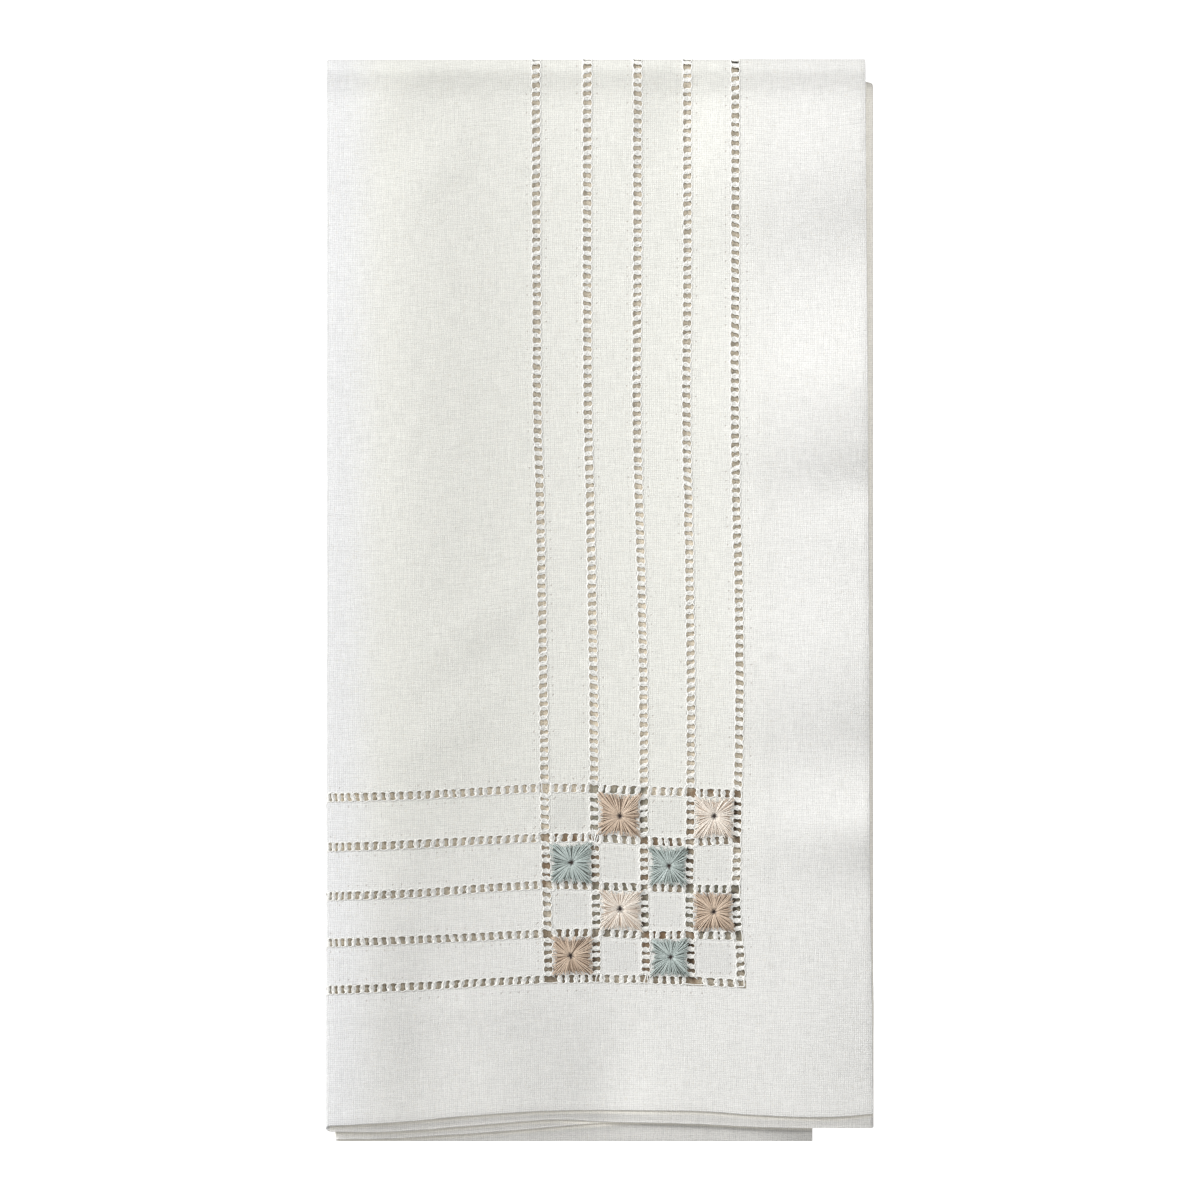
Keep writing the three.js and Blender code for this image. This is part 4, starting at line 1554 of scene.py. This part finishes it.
def linen_material():
    """Plain-weave linen: uneven threads both ways, slubs, needle holes by the ladders, and the colour,
    painted shade and painted light of each part of the folded packet."""
    material, tree, shader = new_material("ivory_linen", LINEN, LINEN_FINISH)
    uv = add_node(tree, "ShaderNodeUVMap", uv_map="ClothMap").outputs[0]
    u, v = parts_of(tree, uv)[:2]
    across = u * (FLAT_WIDTH / MM)
    up = v * (FLAT_LENGTH / MM)
    place_x, place_y = parts_of(tree, add_node(tree, "ShaderNodeTexCoord").outputs["Object"])[:2]

    weave, tone = weave_of(tree, across, up)
    dots = needle_holes(tree, across, up, attribute(tree, "upright_bars"), attribute(tree, "level_bars"))
    height = weave * WEAVE_RELIEF + tone * TONE_RELIEF - dots * HOLE_RELIEF
    cloudy = noise(tree, across, up, CLOUD_SCALE, 3.0) - 0.5
    light = LINEN_LIGHT + tone * TONE_LIGHT + cloudy * CLOUD_LIGHT - (1.0 - weave) * LINE_SHADE
    light = light * (1.0 - square_middles(across) * square_middles(up) * LATTICE_SHADE)
    turn = place_x.ramp(*FOLD_TURN, 1.0, 0.0)
    top_shade = place_x.ramp(*TOP_RIGHT, TOP_SHADE, TOP_SHADE + RIGHT_TOP_SHADE)
    light = light * (1.0 - turn * FOLD_SHADE) * (1.0 - place_y.ramp(*TOP_NOSE) * top_shade)

    inner = across.ramp(*INNER_START)
    colour = blend_colour(tree, place_y.ramp(*LOW_RANGE), LOW_LINEN, LINEN)
    # painted cool light near the left fold
    colour = blend_colour(tree, place_x.ramp(*FOLD_RANGE), COOL_LIT_FOLD_LINEN, colour)
    colour = blend_colour(tree, place_x.ramp(*RIGHT_RANGE), colour, RIGHT_LINEN)
    # painted light on the inner layers
    colour = blend_colour(tree, inner, colour, BRIGHTENED_INNER_LINEN)
    colour, light = strip_shades(colour, light, tree, inner, across, up, place_x, place_y)
    colour = ground_shades(colour, tree, across, up)
    slub = noise(tree, across * SLUB_SHORT, up * SLUB_LONG, 1.0, 0.0).ramp(*SLUB_RARE)
    level_slub = noise(tree, across * SLUB_LONG, up * SLUB_SHORT, 1.0, 0.0).ramp(*SLUB_RARE)
    colour = blend_colour(tree, slub.math("MAXIMUM", level_slub) * SLUB_SHARE, colour, SLUB)
    colour = scaled(tree, colour, light)
    colour = blend_colour(tree, dots * HOLE_DARK, colour, HOLE_SHADE)
    tree.links.new(colour, shader.inputs["Base Color"])
    inputs = {"Height": height, "Strength": WEAVE_STRENGTH, "Distance": WEAVE_DEPTH}
    bump = add_node(tree, "ShaderNodeBump", inputs)
    tree.links.new(bump.outputs[0], shader.inputs["Normal"])
    return material


# How thread and floss are twisted, and how light or dark their strands are
TWIST_DEPTH = 0.03 * MM
TWIST_STRENGTH = 0.6
RIDGE_HEIGHT = 0.5
FIBRES_ALONG = 1.3
FIBRES_AROUND = 7.0
THREAD_TWIST = 0.7 * MM
FLOSS_TWIST = 0.9 * MM
THREAD_TONES = (0.96, 0.08)
STREAK_ALONG = 0.5
STREAK_PER_TONE = 40.0
STREAK_SHARE = 0.5
LIGHT_TONES = (0.1, 1.0)
# Painted shade: tones of the pad, which take the dark line colour
PAD_SHADE_RANGE = (-1.0, -0.2)
LOW_TONES = (0.0, 0.3)
LOW_DARK = 0.8


def twist(tree, shader, spacing):
    """Ply lines that wind round a thread."""
    along = attribute(tree, "along") / spacing
    around = attribute(tree, "around")
    ridge = ((along + around) * (2 * math.pi)).sin()
    fibre = noise(tree, along * FIBRES_ALONG, around * FIBRES_AROUND, 2.0, 3.0) - 0.5
    inputs = {"Height": ridge * RIDGE_HEIGHT + fibre, "Strength": TWIST_STRENGTH, "Distance": TWIST_DEPTH}
    bump = add_node(tree, "ShaderNodeBump", inputs)
    tree.links.new(bump.outputs[0], shader.inputs["Normal"])


def thread_material():
    """Ivory sewing thread, each strand a little lighter or darker."""
    material, tree, shader = new_material("hemstitch_thread", THREAD, THREAD_FINISH)
    light = THREAD_TONES[0] + attribute(tree, "tone") * THREAD_TONES[1]
    tree.links.new(scaled(tree, THREAD, light), shader.inputs["Base Color"])
    twist(tree, shader, THREAD_TWIST)
    return material


# The line colour is the dark that the pad takes as painted shade between strands, and that some strands take
# at random
FLOSS_COLOURS = {
    "tan": {"body": (0.49, 0.365, 0.267), "light": (0.73, 0.585, 0.455), "line": (0.16, 0.1, 0.06)},
    "cream": {"body": (0.77, 0.675, 0.585), "light": (0.89, 0.82, 0.73), "line": (0.5, 0.38, 0.28)},
    "grey_blue": {"body": (0.325, 0.387, 0.364), "light": (0.56, 0.635, 0.61), "line": (0.08, 0.095, 0.08)},
}
# Painted shade in the sunk eyelet
EYELET_SHADE_COLOUR = (0.025, 0.012, 0.008)


def floss_material(name):
    """Stranded floss: each strand its own tone, a soft lustre, a pad painted dark as the shade between
    strands, and painted shade in the sunk eyelet.
    """
    colours = FLOSS_COLOURS[name]
    material, tree, shader = new_material(name + "_floss", colours["body"], FLOSS_FINISH)
    tone = attribute(tree, "tone")
    along = attribute(tree, "along") / MM
    streak = noise(tree, along * STREAK_ALONG, tone * STREAK_PER_TONE, 1.0, 2.0) - 0.5
    lit = (tone + streak * STREAK_SHARE).ramp(*LIGHT_TONES)
    colour = blend_colour(tree, lit, colours["body"], colours["light"])
    dark = tone.ramp(*PAD_SHADE_RANGE, 1.0, 0.0).math("MAXIMUM", tone.ramp(*LOW_TONES, LOW_DARK, 0.0))
    colour = blend_colour(tree, dark, colour, colours["line"])
    colour = blend_colour(tree, attribute(tree, "sunk"), colour, EYELET_SHADE_COLOUR)
    tree.links.new(colour, shader.inputs["Base Color"])
    twist(tree, shader, FLOSS_TWIST)
    return material


# The pieces

FINE_BAR = {
    "Strands": 5, "Steps": 9, "Sides": 4, "Seed": 7, "Reach": 1.6 * MM, "Tie": TIE_REACH,
    "Fan Half": 0.95 * MM, "Tie Half": 0.31 * MM, "Waist Half": 0.58 * MM, "Strand Radius": 0.15 * MM,
    "Unevenness": 0.3 * MM,
}
COARSE_BAR = {**FINE_BAR, "Strands": 2, "Steps": 5, "Sides": 4, "Tie Half": 0.16 * MM,
              "Waist Half": 0.3 * MM, "Strand Radius": 0.33 * MM}
EDGE_CORD = {"Steps": 7, "Sides": 5, "Thread Radius": CORD_RADIUS, "Unevenness": 0.1 * MM, "Point": 1.4}
TIE_THREAD = {**EDGE_CORD, "Steps": 5, "Sides": 4, "Thread Radius": 0.09 * MM, "Point": 0.6}
LOOSE_STRAND = {**EDGE_CORD, "Thread Radius": 0.17 * MM, "Unevenness": 0.35 * MM, "Point": 0.6}
PLAIN_CORD = {**EDGE_CORD, "Steps": 3, "Sides": 3}
STAR_FLOSS = {
    "Strands": 116, "Steps": 12, "Sides": 5, "Half Side": STAR_HALF, "Pinch": 0.13,
    "Eyelet Radius": 0.78 * MM, "Pad Height": 0.36 * MM, "Strand Radius": 0.12 * MM,
    "Raggedness": 0.7 * MM,
}


def make_ladders(thread):
    """Bars and hemstitching of every ladder."""
    ladders = Ladders()
    bars = bar_pattern()
    threads = thread_pattern()
    cords, ties, plain = hemstitch_paths(ladders)
    frames, loose = crossing_paths(ladders)
    return [
        grow("upright_bars", bars, ladders.host("upright", True, True), thread, FINE_BAR),
        grow("level_bars", bars, ladders.host("level", False, True), thread, FINE_BAR),
        grow("hidden_bars", bars, ladders.host("hidden", None, False), thread, COARSE_BAR),
        grow("edge_cords", threads, cords.host("cords"), thread, EDGE_CORD),
        grow("bar_ties", threads, ties.host("ties"), thread, TIE_THREAD),
        grow("hidden_cords", threads, plain.host("plain"), thread, PLAIN_CORD),
        grow("crossing_frames", threads, frames.host("frames"), thread, EDGE_CORD),
        grow("crossing_strands", threads, loose.host("loose"), thread, LOOSE_STRAND),
    ]


def make_stars(materials):
    """The star squares, in one mesh for each floss."""
    pattern = star_pattern()
    pieces = []
    for order, (floss, material) in enumerate(materials.items()):
        stars = [star for star in STARS if star["floss"] == floss]
        points = [(-across, up, THICKNESS / 2) for across, up in map(star_middle, stars)]
        aside = [(star["eyelet_right"] - star["right"]) * MM for star in stars]
        above = [(star["eyelet_above"] - star["above"]) * MM for star in stars]
        host = host_mesh(floss, points, middle_x=aside, middle_y=above)
        piece = grow("stars_" + floss, pattern, host, material, {**STAR_FLOSS, "Seed": 20 + order})
        floss + "_floss"
        pieces.append(piece)
    return pieces


# Floor, light and camera

FLOOR_COLOUR = (0.5, 0.5, 0.5)
FLOOR_GLOW = 1.1
KEY = {"azimuth": -64, "elevation": 18, "strength": 3.9, "softness": 26}
FILL = {"azimuth": 145, "elevation": 42, "strength": 0.58, "softness": 40}
OVERHEAD_PLACE = (0.15, 0.28, 0.5)
OVERHEAD_SIZE = 0.2
OVERHEAD_POWER = 1.15
WORLD_STRENGTH = 0.32
FLOOR_HALF = 3.0
FIELD = 300 * MM
SENSOR = 36.0
LENS = 1080.0
CAMERA_SHIFT = 0.0625 * MM
FARTHEST = 20.0
WHITE = (1.0, 1.0, 1.0, 1.0)


def make_floor():
    corners = [(x * FLOOR_HALF, y * FLOOR_HALF, 0) for x, y in ((-1, -1), (1, -1), (1, 1), (-1, 1))]
    mesh = bpy.data.meshes.new("floor")
    mesh.from_pydata(corners, [], [(0, 1, 2, 3)])
    floor = bpy.data.objects.new("floor", mesh)
    bpy.context.scene.collection.objects.link(floor)
    material, tree, shader = new_material("pale_floor", FLOOR_COLOUR, {"Roughness": 0.9})
    shader.inputs["Emission Color"].default_value = WHITE
    seen = Number(tree, add_node(tree, "ShaderNodeLightPath").outputs["Is Camera Ray"])
    plug(tree, shader.inputs["Emission Strength"], seen * FLOOR_GLOW)
    mesh.materials.append(material)


def make_sun(name, sun):
    """A soft light from far off. Azimuth 0 is from the top of the packet, 90 from its right."""
    light = bpy.data.lights.new(name, "SUN")
    light.energy = sun["strength"]
    light.angle = math.radians(sun["softness"])
    lamp = bpy.data.objects.new(name, light)
    lamp.rotation_euler = (math.radians(sun["elevation"] - 90), 0, math.radians(-sun["azimuth"]))
    bpy.context.scene.collection.objects.link(lamp)


def make_overhead():
    """A small soft box above the upper right, so the packet is a little darker to the lower left."""
    light = bpy.data.lights.new("overhead", "AREA")
    light.energy = OVERHEAD_POWER
    light.size = OVERHEAD_SIZE
    lamp = bpy.data.objects.new("overhead", light)
    lamp.location = OVERHEAD_PLACE
    bpy.context.scene.collection.objects.link(lamp)


def make_camera():
    camera = bpy.data.cameras.new("camera")
    camera.sensor_width = SENSOR
    camera.lens = LENS
    camera.clip_end = FARTHEST
    holder = bpy.data.objects.new("camera", camera)
    holder.location = (CAMERA_SHIFT, CAMERA_SHIFT, STACK + FIELD * LENS / SENSOR)
    bpy.context.scene.collection.objects.link(holder)
    bpy.context.scene.camera = holder


def make_studio():
    make_floor()
    make_sun("key", KEY)
    make_sun("fill", FILL)
    make_overhead()
    world = bpy.data.worlds.new("studio")
    world.use_nodes = True
    background = world.node_tree.nodes["Background"]
    background.inputs["Color"].default_value = WHITE
    background.inputs["Strength"].default_value = WORLD_STRENGTH
    bpy.context.scene.world = world
    bpy.context.scene.view_settings.view_transform = "Standard"


def main():
    make_camera()
    make_studio()
    cloth = make_cloth(linen_material())
    thread_pieces = make_ladders(thread_material())
    star_pieces = make_stars({name: floss_material(name) for name in FLOSS_COLOURS})
    for piece in (cloth, *thread_pieces, *star_pieces):
        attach(piece, "root")
    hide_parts("napkin_cloth")


main()
